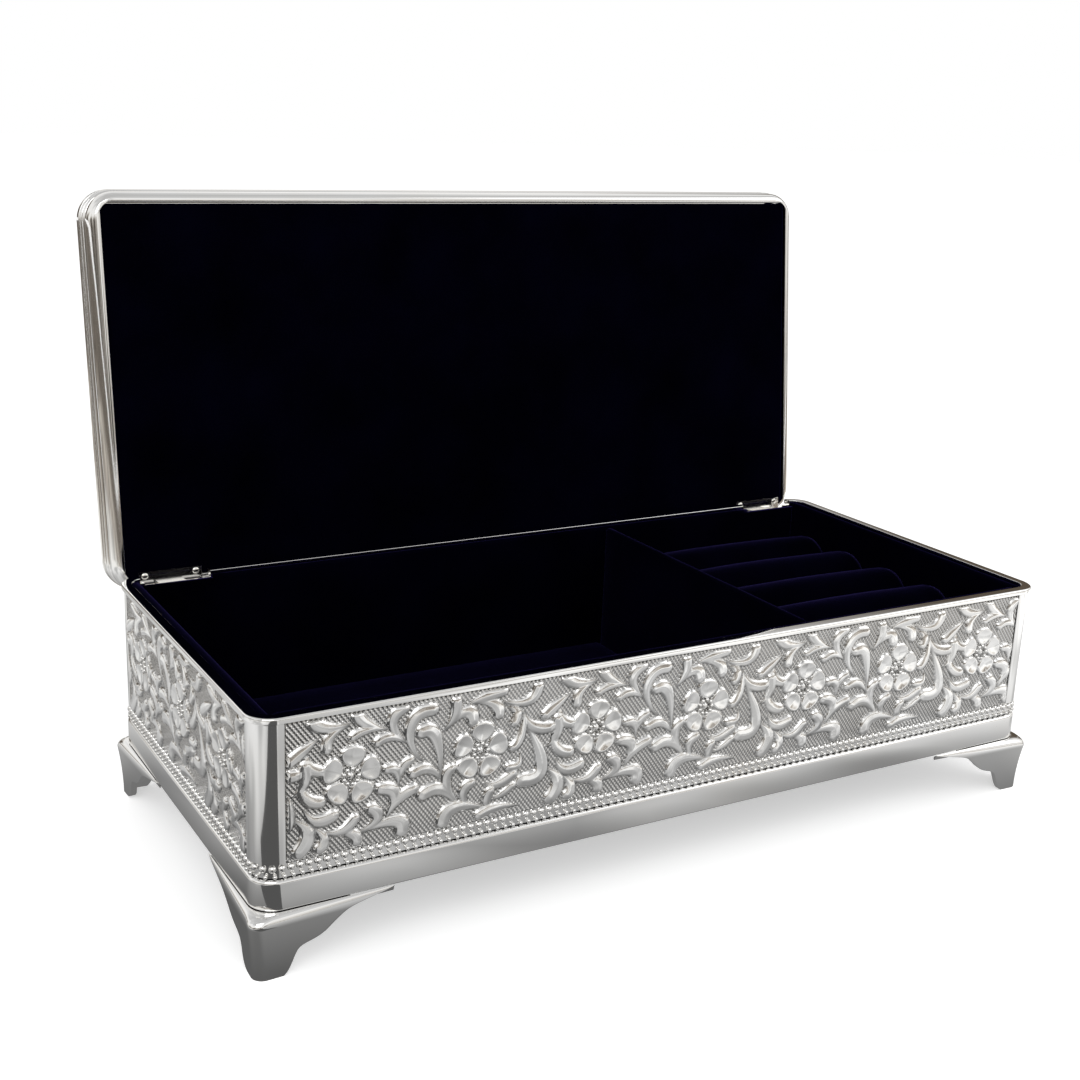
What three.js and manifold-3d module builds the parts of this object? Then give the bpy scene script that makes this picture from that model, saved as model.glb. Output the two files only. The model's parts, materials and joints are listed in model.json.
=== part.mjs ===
// An oblong silver-plated jewellery box on four bracket feet, with its hinged lid standing open.
// Millimetres, +Z up. Each piece is modelled about the plan centre of the case, with the floor at zero,
// and the whole is moved at the end so that the origin lies under the middle of the open box.
import * as THREE from 'three';
import { mergeVertices } from 'three/addons/utils/BufferGeometryUtils.js';
import Module from 'manifold-3d';

const wasm = await Module();
wasm.setup();

// Driving sizes of the case, over its rim.
const caseLength = 250;
const caseWidth = 116.2;
const caseHeight = 65.9;
const cornerRadius = 7;
const seatGap = 0.3;
const overrun = 5;

// The rolled rim, and how far the faces below it lie inside its outline.
const rimHeight = 1.9;
const rimOuterRound = 0.5;
const rimInnerRound = 1.3;
const rimUndercut = 0.5;
const postInset = 0.75;
const panelInset = 1.05;
const panelThickness = 0.6;
const coreInset = panelInset + panelThickness + seatGap;
const coreThickness = 1;
const wallInside = coreInset + coreThickness;
const postWidth = 8;

// The base band, with the flange that carries the base plate.
const footHeight = 16.9;
const bandHeight = 7.9;
const bandInset = 0.4;
const bandThickness = 1.2;
const bandTopRound = 1;
const bandBottomRound = 0.4;
const flangeThickness = 1.5;
const flangeWidth = 12;
const flangeInnerRadius = 4;
const plateThickness = 1.2;

// The double beaded border that runs round the foot of the walls.
const beadRadius = 1;
const pearlRadius = 0.55;
const beadLift = 0.35;
const beadInset = 0.3;

// Bracket feet: plan leg, wall, and the swell of the outer face past the band.
const footLeg = 35.4;
const footWall = 2;
const footFrontToe = 6.2;
const footEndToe = 7.8;
const footToeProud = 1;
const footKneeProud = 2.1;
const footKneeDrop = 0.6;
const footCapRise = 2.4;
const footCapProud = 0.35;
const footPlateThickness = 2;
const footPlateReach = 28;

// Outline of the foot's lower edge, as shares of the leg and of the foot's height.
const firstScoopShares = [[0.245, 0.1], [0.25, 0.38], [0.31, 0.42]];
const cuspShares = [[0.36, 0.47], [0.44, 0.46], [0.52, 0.63]];
const secondScoopShares = [[0.62, 0.81], [0.64, 0.83], [0.69, 0.86]];
const tipShares = [[0.8, 0.91], [0.9, 0.94], [1, 1]];

// Holes for the screws that hold the feet to the base.
const screwHoleRadius = 1.5;
const screwPlaceShares = [[0.3, 0.62], [0.62, 0.3]];

// Velvet-covered boards of the case.
const linerThickness = 3;
const linerDrop = 0.5;
const linerTopRound = 1.2;
const dividerThickness = 3;
const ringRoomLength = 78.75;
const floorPadThickness = 5.4;
const floorPadRound = 1.4;

// Ring rolls in the right-hand compartment, on their foam bed.
const rollCount = 5;
const rollDrop = 9;
const rollHeight = 19.5;
const rollCrown = 0.8;
const rollFootRound = 2.5;

// The lid: its lip lies on the rim when shut, and it stands open past the vertical.
const lidGap = 0.3;
const lidCornerRadius = 9;
const lidOpenAngle = 96.6;
const lipInset = 4;
const lipFlat = 0.8;
const ovoloInset = 0.8;
const ovoloHeight = 4.5;
const quirkHeight = 0.4;
const lidWallInset = 1.6;
const lidWallHeight = 9;
const ledgeInset = 7.4;
const ledgeThickness = 1;
const lidBeadRadius = 1.05;
const lidThreadRadius = 0.6;
const lidBeadInset = 0.35;
const lidThreadInset = 0.3;
const topEdgeHeight = 1.6;
const topRound = 2.3;
const topDome = 1.4;
const topThickness = 1.2;
const topFlange = 3;
const liningThickness = 2.6;
const liningRound = 1;
const liningCornerRadius = 1.8;
const liningDrop = 0.3;
const boardThickness = 1.4;

// Two butt hinges let into notches of the rear wall. A heel on each lid leaf comes round against the
// case leaf, and so stops the lid a little past the vertical.
const hingeLength = 19;
const hingeEndInset = 7.3;
const hingeAxisInset = 1.7;
const hingeAxisDrop = 4.4;
const knuckleRadius = 1.6;
const knuckleGap = 0.3;
const lidKnuckleLength = 8;
const pinRadius = 0.7;
const pinBoreRadius = 0.8;
const pinHeadRadius = 1.15;
const pinHeadLength = 0.6;
const leafThickness = 0.8;
const leafDepth = 11;
const flangeReach = 5.6;
const flangeOuterInset = 1;
const heelDrop = 2.2;
const heelThickness = 1.15;
const heelGap = 0.1;
const stopDrop = 1.5;
const notchDrop = 7.3;

// Steps of the round shapes.
const cornerSteps = 8;
const roundSteps = 6;
const pinSteps = 16;
const screwSteps = 12;
const domeSteps = 10;

// Heights worked out from the sizes above.
const bandTop = footHeight + bandHeight;
const plateBottom = footHeight + flangeThickness + seatGap;
const plateTop = plateBottom + plateThickness;
const insideFloor = plateTop + seatGap;
const borderBottom = bandTop + seatGap;
const borderHeight = 2 * (beadRadius + pearlRadius) + beadLift;
const panelBottom = borderBottom + borderHeight + seatGap;
const rimBottom = caseHeight - rimHeight;
const panelTop = rimBottom - seatGap;
const linerTop = caseHeight - linerDrop;
const linerInset = wallInside + seatGap;
const insideInset = linerInset + linerThickness;
const lidBottom = caseHeight + lidGap;
const hingePlace = caseLength / 2 - hingeEndInset - hingeLength / 2;
const hingeY = caseWidth / 2 - hingeAxisInset;
const hingeZ = caseHeight - hingeAxisDrop;
const leafOuter = caseWidth / 2 - wallInside - seatGap;
const leafInner = leafOuter - leafThickness;
const flangeOuter = caseWidth / 2 - flangeOuterInset;
const flangeInner = flangeOuter - flangeReach;
const flangeTop = lidBottom - seatGap;
const ledgeBottom = liningDrop + liningThickness + boardThickness + 2 * seatGap;

const quarterTurn = Math.PI / 2;

const silver = { color: 0xd8d8d6, roughness: 0.12, metalness: 1 };
const steel = { color: 0xb9b6ae, roughness: 0.25, metalness: 1 };
const velvet = { color: 0x0b0a26, roughness: 0.95, metalness: 0 };
const board = { color: 0x3a3631, roughness: 0.9, metalness: 0 };

// Solids: three.js geometry in, manifold solid out, always facing outwards.
function solid(geometry) {
  const bare = geometry.clone();
  bare.deleteAttribute('normal');
  bare.deleteAttribute('uv');
  const merged = mergeVertices(bare);
  const vertProperties = new Float32Array(merged.attributes.position.array);
  const triVerts = facingOut(vertProperties, new Uint32Array(merged.index.array));
  return new wasm.Manifold(new wasm.Mesh({ numProp: 3, vertProperties, triVerts }));
}

function facingOut(points, triangles) {
  const kept = [];
  let volume = 0;
  const corner = (k) => new THREE.Vector3().fromArray(points, 3 * k);
  for (let i = 0; i < triangles.length; i += 3) {
    const [a, b, c] = triangles.slice(i, i + 3);
    if (a === b || b === c || c === a) continue;
    volume += corner(a).dot(corner(b).cross(corner(c)));
    kept.push([a, b, c]);
  }
  return new Uint32Array(kept.flatMap(([a, b, c]) => (volume > 0 ? [a, b, c] : [a, c, b])));
}

function addPiece(group, name, body, look) {
  const out = body.getMesh();
  const geometry = new THREE.BufferGeometry();
  geometry.setAttribute('position', new THREE.BufferAttribute(out.vertProperties, 3));
  geometry.setIndex(new THREE.BufferAttribute(out.triVerts, 1));
  geometry.computeVertexNormals();
  const mesh = new THREE.Mesh(geometry, new THREE.MeshStandardMaterial(look));
  mesh.name = name;
  group.add(mesh);
}

const joined = (bodies) => bodies.reduce((all, body) => all.add(body));
const without = (body, cutters) => cutters.reduce((rest, cutter) => rest.subtract(cutter), body);

// A box between two corners.
function block([x0, y0, z0], [x1, y1, z1]) {
  const box = new THREE.BoxGeometry(x1 - x0, y1 - y0, z1 - z0);
  return solid(box.translate((x0 + x1) / 2, (y0 + y1) / 2, (z0 + z1) / 2));
}

function roundedOutline(length, width, radius) {
  const shape = new THREE.Shape();
  const x = length / 2 - radius;
  const y = width / 2 - radius;
  shape.absarc(x, y, radius, 0, quarterTurn);
  shape.absarc(-x, y, radius, quarterTurn, 2 * quarterTurn);
  shape.absarc(-x, -y, radius, 2 * quarterTurn, 3 * quarterTurn);
  shape.absarc(x, -y, radius, 3 * quarterTurn, 4 * quarterTurn);
  return shape;
}

// An upright prism on the case's outline, drawn in by an inset.
function prism(inset, bottom, top, radius = cornerRadius - inset) {
  const outline = roundedOutline(caseLength - 2 * inset, caseWidth - 2 * inset, radius);
  const settings = { depth: top - bottom, bevelEnabled: false, curveSegments: cornerSteps };
  return solid(new THREE.ExtrudeGeometry(outline, settings).translate(0, 0, bottom));
}

// A closed profile of [inset, height] points, carried round the outline. A lathe turns it, and the
// quarters of the turn are then pulled apart to the corners.
function moulding(profile, radius = cornerRadius) {
  const perCorner = cornerSteps + 1;
  const columns = 4 * perCorner;
  const loop = [...profile, profile[0]];
  const points = loop.map(([inset, height]) => new THREE.Vector2(radius - inset, height));
  const lathe = new THREE.LatheGeometry(points, columns);
  const place = lathe.attributes.position;
  for (let i = 0; i < place.count; i += 1) {
    const column = Math.floor(i / points.length) % columns;
    const quarter = Math.floor(column / perCorner);
    const turn = (quarter + (column % perCorner) / cornerSteps) * quarterTurn;
    const { x: out, y: height } = points[i % points.length];
    const side = quarter === 0 || quarter === 3 ? 1 : -1;
    const end = quarter < 2 ? 1 : -1;
    const x = side * (caseLength / 2 - radius) + out * Math.cos(turn);
    const y = end * (caseWidth / 2 - radius) + out * Math.sin(turn);
    place.setXYZ(i, x, y, height);
  }
  return solid(lathe);
}

// Points of an arc of an ellipse about [x, y], from one angle to another in quarter turns.
function arcPoints([x, y], [rx, ry], from, to, steps = roundSteps) {
  return Array.from({ length: steps + 1 }, (_, k) => {
    const angle = (from + ((to - from) * k) / steps) * quarterTurn;
    return [x + rx * Math.cos(angle), y + ry * Math.sin(angle)];
  });
}

function shapeOf(points) {
  return new THREE.Shape(points.map(([x, y]) => new THREE.Vector2(x, y)));
}

const alongX = new THREE.Matrix4().makeBasis(
  new THREE.Vector3(0, 1, 0),
  new THREE.Vector3(0, 0, 1),
  new THREE.Vector3(1, 0, 0),
);
const alongY = new THREE.Matrix4().makeBasis(
  new THREE.Vector3(1, 0, 0),
  new THREE.Vector3(0, 0, 1),
  new THREE.Vector3(0, 1, 0),
);

// An outline in Y and Z run along X, and one in X and Z run along Y.
function runAlongX(points, from, to) {
  const run = new THREE.ExtrudeGeometry(shapeOf(points), { depth: to - from, bevelEnabled: false });
  return solid(run.applyMatrix4(alongX).translate(from, 0, 0));
}

function runAlongY(points, from, to) {
  const run = new THREE.ExtrudeGeometry(shapeOf(points), { depth: to - from, bevelEnabled: false });
  return solid(run.applyMatrix4(alongY).translate(0, from, 0));
}

function uprightRod(radius, [x, y], bottom, top, steps = screwSteps) {
  const rod = new THREE.CylinderGeometry(radius, radius, top - bottom, steps).rotateX(quarterTurn);
  return solid(rod.translate(x, y, (bottom + top) / 2));
}

function rodAlongX(radius, from, to, y, z, steps = pinSteps) {
  const rod = new THREE.CylinderGeometry(radius, radius, to - from, steps).rotateZ(quarterTurn);
  return solid(rod.translate((from + to) / 2, y, z));
}

// The case.

// One notch in the rear wall for each hinge.
function hingeNotch(side) {
  const half = hingeLength / 2 + pinHeadLength + seatGap;
  const centre = side * hingePlace;
  const inner = caseWidth / 2 - wallInside - overrun;
  const outer = caseWidth / 2 + overrun;
  return block(
    [centre - half, inner, caseHeight - notchDrop],
    [centre + half, outer, caseHeight + overrun],
  );
}

const notches = [-1, 1].map(hingeNotch);

function caseShell() {
  const rim = moulding([
    [wallInside, rimBottom],
    [postInset, rimBottom],
    [0, rimBottom + rimUndercut],
    ...arcPoints([rimOuterRound, caseHeight - rimOuterRound], [rimOuterRound, rimOuterRound], 2, 1),
    ...arcPoints(
      [wallInside - rimInnerRound, caseHeight - rimInnerRound],
      [rimInnerRound, rimInnerRound],
      1,
      0,
    ),
  ]);
  const core = prism(coreInset, insideFloor, rimBottom + rimUndercut)
    .subtract(prism(wallInside, insideFloor - overrun, caseHeight));
  const postRing = prism(postInset, panelBottom, rimBottom + rimUndercut)
    .subtract(prism(coreInset, panelBottom - overrun, caseHeight));
  const alongFront = caseLength / 2 - postWidth;
  const alongEnd = caseWidth / 2 - postWidth;
  const windows = [
    block([-alongFront, -caseWidth, 0], [alongFront, caseWidth, caseHeight + overrun]),
    block([-caseLength, -alongEnd, 0], [caseLength, alongEnd, caseHeight + overrun]),
  ];
  return without(joined([core, without(postRing, windows), rim]), notches);
}

// The four embossed panels are flat sheets here, seated between the posts.
function longPanel(side) {
  const half = caseLength / 2 - postWidth - seatGap;
  const outer = caseWidth / 2 - panelInset;
  const faces = [side * outer, side * (outer - panelThickness)].sort((a, b) => a - b);
  return block([-half, faces[0], panelBottom], [half, faces[1], panelTop]);
}

function endPanel(side) {
  const half = caseWidth / 2 - postWidth - seatGap;
  const outer = caseLength / 2 - panelInset;
  const faces = [side * outer, side * (outer - panelThickness)].sort((a, b) => a - b);
  return block([faces[0], -half, panelBottom], [faces[1], half, panelTop]);
}

function beadBorder() {
  const pearl = borderBottom + pearlRadius;
  const bead = pearl + pearlRadius + beadLift + beadRadius;
  const back = panelInset + panelThickness;
  const pearlCentre = beadInset + beadRadius;
  return moulding([
    [back, borderBottom],
    ...arcPoints([pearlCentre, pearl], [pearlRadius, pearlRadius], 3, 1),
    ...arcPoints([beadInset + beadRadius, bead], [beadRadius, beadRadius], 3, 1),
    [back, borderBottom + borderHeight],
  ]);
}

function baseBand() {
  const inner = bandInset + bandThickness;
  const wall = moulding([
    [inner, footHeight],
    [bandInset + bandBottomRound, footHeight],
    [bandInset, footHeight + bandBottomRound],
    ...arcPoints([bandInset + bandTopRound, bandTop - bandTopRound], [bandTopRound, bandTopRound], 2, 1),
    [inner, bandTop],
  ]);
  const flange = prism(bandInset + bandBottomRound, footHeight, footHeight + flangeThickness)
    .subtract(prism(flangeWidth, footHeight - overrun, footHeight + overrun, flangeInnerRadius));
  return without(wall.add(flange), footScrewPlaces.map(([x, y]) => (
    uprightRod(screwHoleRadius, [x, y], footHeight - overrun, footHeight + overrun)
  )));
}

// Feet.

const footCorner = [caseLength / 2 - bandInset, caseWidth / 2 - bandInset];
const footTop = footHeight - seatGap;

// The four corners. A foot is drawn with its corner at the origin and its legs along +X and +Y.
const footPlaces = [
  { name: 'foot_front_left', x: -1, y: -1 },
  { name: 'foot_front_right', x: 1, y: -1 },
  { name: 'foot_rear_right', x: 1, y: 1 },
  { name: 'foot_rear_left', x: -1, y: 1 },
];

const footScrewPlaces = footPlaces.flatMap((place) => (
  screwPlaceShares.map(([x, y]) => [
    place.x * (footCorner[0] - x * footPlateReach),
    place.y * (footCorner[1] - y * footPlateReach),
  ])
));

// Section through a leg: how far its outer face stands past the band at each height.
function footSection() {
  const knee = footTop - footKneeDrop;
  const swell = new THREE.QuadraticBezierCurve(
    new THREE.Vector2(-footToeProud, 0),
    new THREE.Vector2(-footToeProud, knee / 2),
    new THREE.Vector2(-footKneeProud, knee),
  ).getPoints(roundSteps);
  return [
    ...swell.map((p) => [p.x, p.y]),
    [-footCapProud, footHeight + footCapRise],
    [footLeg, footHeight + footCapRise],
    [footLeg, 0],
  ];
}

// What is cut away under a leg, from the toe up to its tip.
function footScallop(toe) {
  const curves = [firstScoopShares, cuspShares, secondScoopShares, tipShares];
  const outline = [[toe, 0]];
  for (const shares of curves) {
    const [from] = outline.slice(-1);
    const knots = [from, ...shares.map(([along, up]) => [along * footLeg, up * footHeight])];
    const bend = new THREE.CubicBezierCurve(...knots.map(([x, z]) => new THREE.Vector2(x, z)));
    outline.push(...bend.getPoints(roundSteps).slice(1).map((p) => [p.x, p.y]));
  }
  return [[toe, -overrun], ...outline, [footLeg + overrun, footHeight], [footLeg + overrun, -overrun]];
}

function foot(place) {
  const draft = Math.atan2(footKneeProud - footCapProud, footLeg);
  const spin = (body, angle) => body.rotate([0, 0, THREE.MathUtils.radToDeg(angle)]);
  const frontSide = spin(runAlongX(footSection(), -footKneeProud, footLeg + overrun), draft);
  const endSide = spin(runAlongY(footSection(), -footKneeProud, footLeg + overrun), -draft);
  const reach = block([-overrun, -overrun, 0], [footLeg, footLeg, caseHeight]);
  const plateUnder = footTop - footPlateThickness;
  const pocket = block([footWall, footWall, -overrun], [footLeg + overrun, footLeg + overrun, plateUnder]);
  const gusset = solid(new THREE.ExtrudeGeometry(shapeOf([
    [footPlateReach, footWall],
    [footLeg + overrun, footWall],
    [footLeg + overrun, footLeg + overrun],
    [footWall, footLeg + overrun],
    [footWall, footPlateReach],
  ]), { depth: footPlateThickness + overrun, bevelEnabled: false }).translate(0, 0, plateUnder));
  const scallops = [
    runAlongX(footScallop(footEndToe), -overrun, footLeg + overrun),
    runAlongY(footScallop(footFrontToe), -overrun, footLeg + overrun),
  ];
  const body = without(frontSide.intersect(endSide).intersect(reach), [pocket, gusset, ...scallops]);
  const placed = body.scale([-place.x, -place.y, 1])
    .translate([place.x * footCorner[0], place.y * footCorner[1], 0]);
  const bandRoom = prism(bandInset - seatGap, footTop, caseHeight);
  const holes = footScrewPlaces.map(([x, y]) => (
    uprightRod(screwHoleRadius, [x, y], plateUnder - overrun, footHeight + overrun)
  ));
  return without(placed, [bandRoom, ...holes]);
}

// Linings.

const roomX = caseLength / 2 - linerInset;
const roomY = caseWidth / 2 - linerInset;
const insideX = caseLength / 2 - insideInset;
const insideY = caseWidth / 2 - insideInset;
const dividerPlace = insideX - ringRoomLength - dividerThickness / 2;

// Section of an upright board with a rounded top, from one face to the other.
function boardSection(from, to, bottom, top, round) {
  return [
    [from, bottom],
    [to, bottom],
    ...arcPoints([to - round, top - round], [round, round], 0, 1),
    ...arcPoints([from + round, top - round], [round, round], 1, 2),
  ];
}

const liningRoom = prism(linerInset, insideFloor, caseHeight);

function hingeRecess(side) {
  const half = hingeLength / 2 + pinHeadLength + seatGap;
  const centre = side * hingePlace;
  const behindLeaf = block(
    [centre - half, leafInner - seatGap, hingeZ - leafDepth - seatGap],
    [centre + half, caseWidth, caseHeight],
  );
  const underFlange = block(
    [centre - half, flangeInner - seatGap, flangeTop - leafThickness - seatGap],
    [centre + half, caseWidth, caseHeight],
  );
  return behindLeaf.add(underFlange);
}

function longLiner(side) {
  const section = boardSection(insideY, roomY, insideFloor, linerTop, linerTopRound);
  const run = insideX - seatGap;
  const body = runAlongX(section.map(([y, z]) => [side * y, z]), -run, run);
  return side > 0 ? without(body, [-1, 1].map(hingeRecess)) : body;
}

function endLiner(side) {
  const section = boardSection(insideX, roomX, insideFloor, linerTop, linerTopRound);
  return runAlongY(section.map(([x, z]) => [side * x, z]), -roomY, roomY).intersect(liningRoom);
}

function divider() {
  const left = dividerPlace - dividerThickness / 2;
  const right = dividerPlace + dividerThickness / 2;
  const run = insideY - seatGap;
  return runAlongY(boardSection(left, right, insideFloor, linerTop, linerTopRound), -run, run);
}

// The pad on the floor of the large compartment, a board whose wrapped edges are rounded over.
function floorPad() {
  const left = -insideX + seatGap;
  const right = dividerPlace - dividerThickness / 2 - seatGap;
  const front = insideY - seatGap;
  const top = insideFloor + floorPadThickness;
  const overX = runAlongX(boardSection(-front, front, insideFloor, top, floorPadRound), left, right);
  const overY = runAlongY(boardSection(left, right, insideFloor, top, floorPadRound), -front, front);
  return overX.intersect(overY);
}

const rollLeft = dividerPlace + dividerThickness / 2 + seatGap;
const rollRight = insideX - seatGap;
const rollTop = caseHeight - rollDrop;
const rollPitch = (2 * insideY - seatGap) / rollCount;

function ringBed() {
  const front = insideY - seatGap;
  return block([rollLeft, -front, insideFloor], [rollRight, front, rollTop - rollHeight - seatGap]);
}

// A foam roll under velvet: a round crown over upright sides, swelling a little at mid-length.
function ringRoll(index) {
  const centre = (index - (rollCount - 1) / 2) * rollPitch;
  const half = (rollPitch - seatGap) / 2;
  const bottom = rollTop - rollHeight;
  const footIn = half - rollFootRound;
  const footRound = [rollFootRound, rollFootRound];
  const section = [
    ...arcPoints([centre - footIn, bottom + rollFootRound], footRound, 2, 3),
    ...arcPoints([centre + footIn, bottom + rollFootRound], footRound, 3, 4),
    ...arcPoints([centre, rollTop - half], [half, half], 0, 2, 2 * roundSteps),
  ];
  const crown = new THREE.QuadraticBezierCurve(
    new THREE.Vector2(rollLeft, rollTop - rollCrown),
    new THREE.Vector2((rollLeft + rollRight) / 2, rollTop + rollCrown),
    new THREE.Vector2(rollRight, rollTop - rollCrown),
  ).getPoints(domeSteps).map((p) => [p.x, p.y]);
  const lengthwise = [[rollRight, bottom - overrun], [rollLeft, bottom - overrun], ...crown];
  return runAlongX(section, rollLeft, rollRight)
    .intersect(runAlongY(lengthwise, centre - rollPitch, centre + rollPitch));
}

// Hinges, drawn with the lid shut. The sections are in Y and Z.

function hingeSpans(side) {
  const centre = side * hingePlace;
  const end = hingeLength / 2;
  const middle = lidKnuckleLength / 2;
  return {
    ends: [[centre - end, centre - middle - knuckleGap], [centre + middle + knuckleGap, centre + end]],
    middle: [centre - middle, centre + middle],
    whole: [centre - end, centre + end],
  };
}

function caseLeaf(side) {
  const { ends, middle, whole } = hingeSpans(side);
  const knuckles = ends.map(([from, to]) => (
    rodAlongX(knuckleRadius, from, to, hingeY, hingeZ)
      .add(block([from, leafInner, hingeZ - knuckleRadius], [to, hingeY, hingeZ]))
  ));
  const plate = block([whole[0], leafInner, hingeZ - leafDepth], [whole[1], leafOuter, hingeZ]);
  const swing = block(
    [middle[0] - knuckleGap, leafInner - overrun, hingeZ - stopDrop],
    [middle[1] + knuckleGap, hingeY, hingeZ + overrun],
  );
  const bore = rodAlongX(pinBoreRadius, whole[0] - overrun, whole[1] + overrun, hingeY, hingeZ);
  return without(joined([plate, ...knuckles]), [swing, bore]);
}

// The heel is drawn where it stops, hanging behind the case leaf, and turned back with the lid.
function lidHeel([from, to]) {
  const face = leafOuter + heelGap - hingeY;
  const heel = block([from, face, -heelDrop], [to, face + heelThickness, 0]);
  return heel.rotate([lidOpenAngle, 0, 0]).translate([0, hingeY, hingeZ]);
}

function lidLeaf(side) {
  const { middle, whole } = hingeSpans(side);
  const armInner = hingeY - knuckleRadius;
  const knuckle = rodAlongX(knuckleRadius, middle[0], middle[1], hingeY, hingeZ);
  const arm = block([middle[0], armInner, hingeZ], [middle[1], armInner + leafThickness, flangeTop]);
  const flange = block(
    [whole[0], flangeInner, flangeTop - leafThickness],
    [whole[1], flangeOuter, flangeTop],
  );
  const bore = rodAlongX(pinBoreRadius, whole[0], whole[1], hingeY, hingeZ);
  return joined([knuckle, arm, flange, lidHeel(middle)]).subtract(bore);
}

function hingePin(side) {
  const { whole } = hingeSpans(side);
  const shank = rodAlongX(pinRadius, whole[0] - pinHeadLength, whole[1] + pinHeadLength, hingeY, hingeZ);
  const heads = [
    rodAlongX(pinHeadRadius, whole[0] - pinHeadLength, whole[0] - seatGap / 2, hingeY, hingeZ),
    rodAlongX(pinHeadRadius, whole[1] + seatGap / 2, whole[1] + pinHeadLength, hingeY, hingeZ),
  ];
  return joined([shank, ...heads]);
}

// The lid, drawn shut. Heights are measured up from its lip.

const lidMoulding = (profile, radius = lidCornerRadius) => moulding(
  profile.map(([inset, height]) => [inset, lidBottom + height]),
  radius,
);

function lidFrame() {
  const ledgeTop = ledgeBottom + ledgeThickness;
  const frame = lidMoulding([
    [lipInset, 0],
    ...arcPoints(
      [lipInset - lipFlat, ovoloHeight],
      [lipInset - lipFlat - ovoloInset, ovoloHeight],
      3,
      2,
    ),
    [lidWallInset, ovoloHeight + quirkHeight],
    [lidWallInset, lidWallHeight],
    [lipInset, lidWallHeight],
    [lipInset, ledgeTop],
    [ledgeInset, ledgeTop],
    [ledgeInset, ledgeBottom],
    [lipInset, ledgeBottom],
  ]);
  const mouth = prism(lipInset, lidBottom - overrun, lidBottom + ledgeBottom, liningCornerRadius);
  return frame.subtract(mouth);
}

function lidBeads() {
  const back = lidWallInset - seatGap;
  const bottom = ovoloHeight + quirkHeight + seatGap;
  const bead = bottom + lidBeadRadius;
  const thread = bead + lidBeadRadius + 2 * lidThreadRadius;
  return lidMoulding([
    [back, bottom],
    ...arcPoints([lidBeadInset + lidBeadRadius, bead], [lidBeadRadius, lidBeadRadius], 3, 1),
    ...arcPoints([lidThreadInset + lidThreadRadius, thread], [lidThreadRadius, lidThreadRadius], 3, 1),
    [back, thread + lidThreadRadius],
  ]);
}

// A slab whose top is crowned both ways, for the outside of the top plate and for its hollow.
function crownedSlab(inset, bottom, shoulder, rise) {
  const halfX = caseLength / 2 - inset;
  const halfY = caseWidth / 2 - inset;
  const crown = (half) => new THREE.QuadraticBezierCurve(
    new THREE.Vector2(half, shoulder),
    new THREE.Vector2(0, shoulder + 2 * rise),
    new THREE.Vector2(-half, shoulder),
  ).getPoints(domeSteps).map((p) => [p.x, p.y]);
  const section = (half) => [[-half, bottom], [half, bottom], ...crown(half)];
  return runAlongX(section(halfY), -halfX, halfX)
    .intersect(runAlongY(section(halfX), -halfY, halfY))
    .intersect(prism(inset, bottom - overrun, shoulder + overrun, lidCornerRadius - inset));
}

function lidTopPlate() {
  const bottom = lidBottom + lidWallHeight + seatGap;
  const edge = bottom + topEdgeHeight;
  const rolled = moulding([
    [topFlange, bottom],
    [0, bottom],
    ...arcPoints([topRound, edge], [topRound, topRound], 2, 1),
    [topFlange, edge + topRound],
  ], lidCornerRadius);
  const field = crownedSlab(topRound, bottom, edge + topRound, topDome);
  const hollow = crownedSlab(topFlange, bottom - overrun, edge + topRound - topThickness, topDome);
  return rolled.add(field).subtract(hollow);
}

// Two flat pieces fill the lip: the velvet lining, and the board behind it.
const liningInset = lipInset + seatGap;

function lidLining() {
  const front = liningDrop;
  const back = front + liningThickness;
  const edges = lidMoulding([
    [liningInset, back],
    ...arcPoints([liningInset + liningRound, front + liningRound], [liningRound, liningRound], 2, 3),
    [liningInset + liningRound, back],
  ], liningInset + liningCornerRadius);
  const field = prism(
    liningInset + liningRound,
    lidBottom + front,
    lidBottom + back,
    liningCornerRadius - liningRound,
  );
  return edges.add(field);
}

function lidBoard() {
  const bottom = lidBottom + liningDrop + liningThickness + seatGap;
  return prism(liningInset, bottom, bottom + boardThickness, liningCornerRadius);
}

// Assembly.

const box = new THREE.Group();
const caseGroup = new THREE.Group();
box.add(caseGroup);

addPiece(caseGroup, 'case_shell', caseShell(), silver);
addPiece(caseGroup, 'front_panel', longPanel(-1), silver);
addPiece(caseGroup, 'rear_panel', without(longPanel(1), notches), silver);
addPiece(caseGroup, 'left_panel', endPanel(-1), silver);
addPiece(caseGroup, 'right_panel', endPanel(1), silver);
addPiece(caseGroup, 'beaded_border', beadBorder(), silver);
addPiece(caseGroup, 'base_band', baseBand(), silver);
addPiece(caseGroup, 'base_plate', prism(bandInset + bandThickness + seatGap, plateBottom, plateTop), steel);
for (const place of footPlaces) addPiece(caseGroup, place.name, foot(place), silver);
addPiece(caseGroup, 'front_liner', longLiner(-1), velvet);
addPiece(caseGroup, 'rear_liner', longLiner(1), velvet);
addPiece(caseGroup, 'left_liner', endLiner(-1), velvet);
addPiece(caseGroup, 'right_liner', endLiner(1), velvet);
addPiece(caseGroup, 'divider', divider(), velvet);
addPiece(caseGroup, 'floor_pad', floorPad(), velvet);
addPiece(caseGroup, 'ring_bed', ringBed(), velvet);
for (let index = 0; index < rollCount; index += 1) {
  addPiece(caseGroup, `ring_roll_${index + 1}`, ringRoll(index), velvet);
}
for (const [name, side] of [['left', -1], ['right', 1]]) {
  addPiece(caseGroup, `hinge_case_leaf_${name}`, caseLeaf(side), steel);
  addPiece(caseGroup, `hinge_pin_${name}`, hingePin(side), steel);
}

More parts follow.
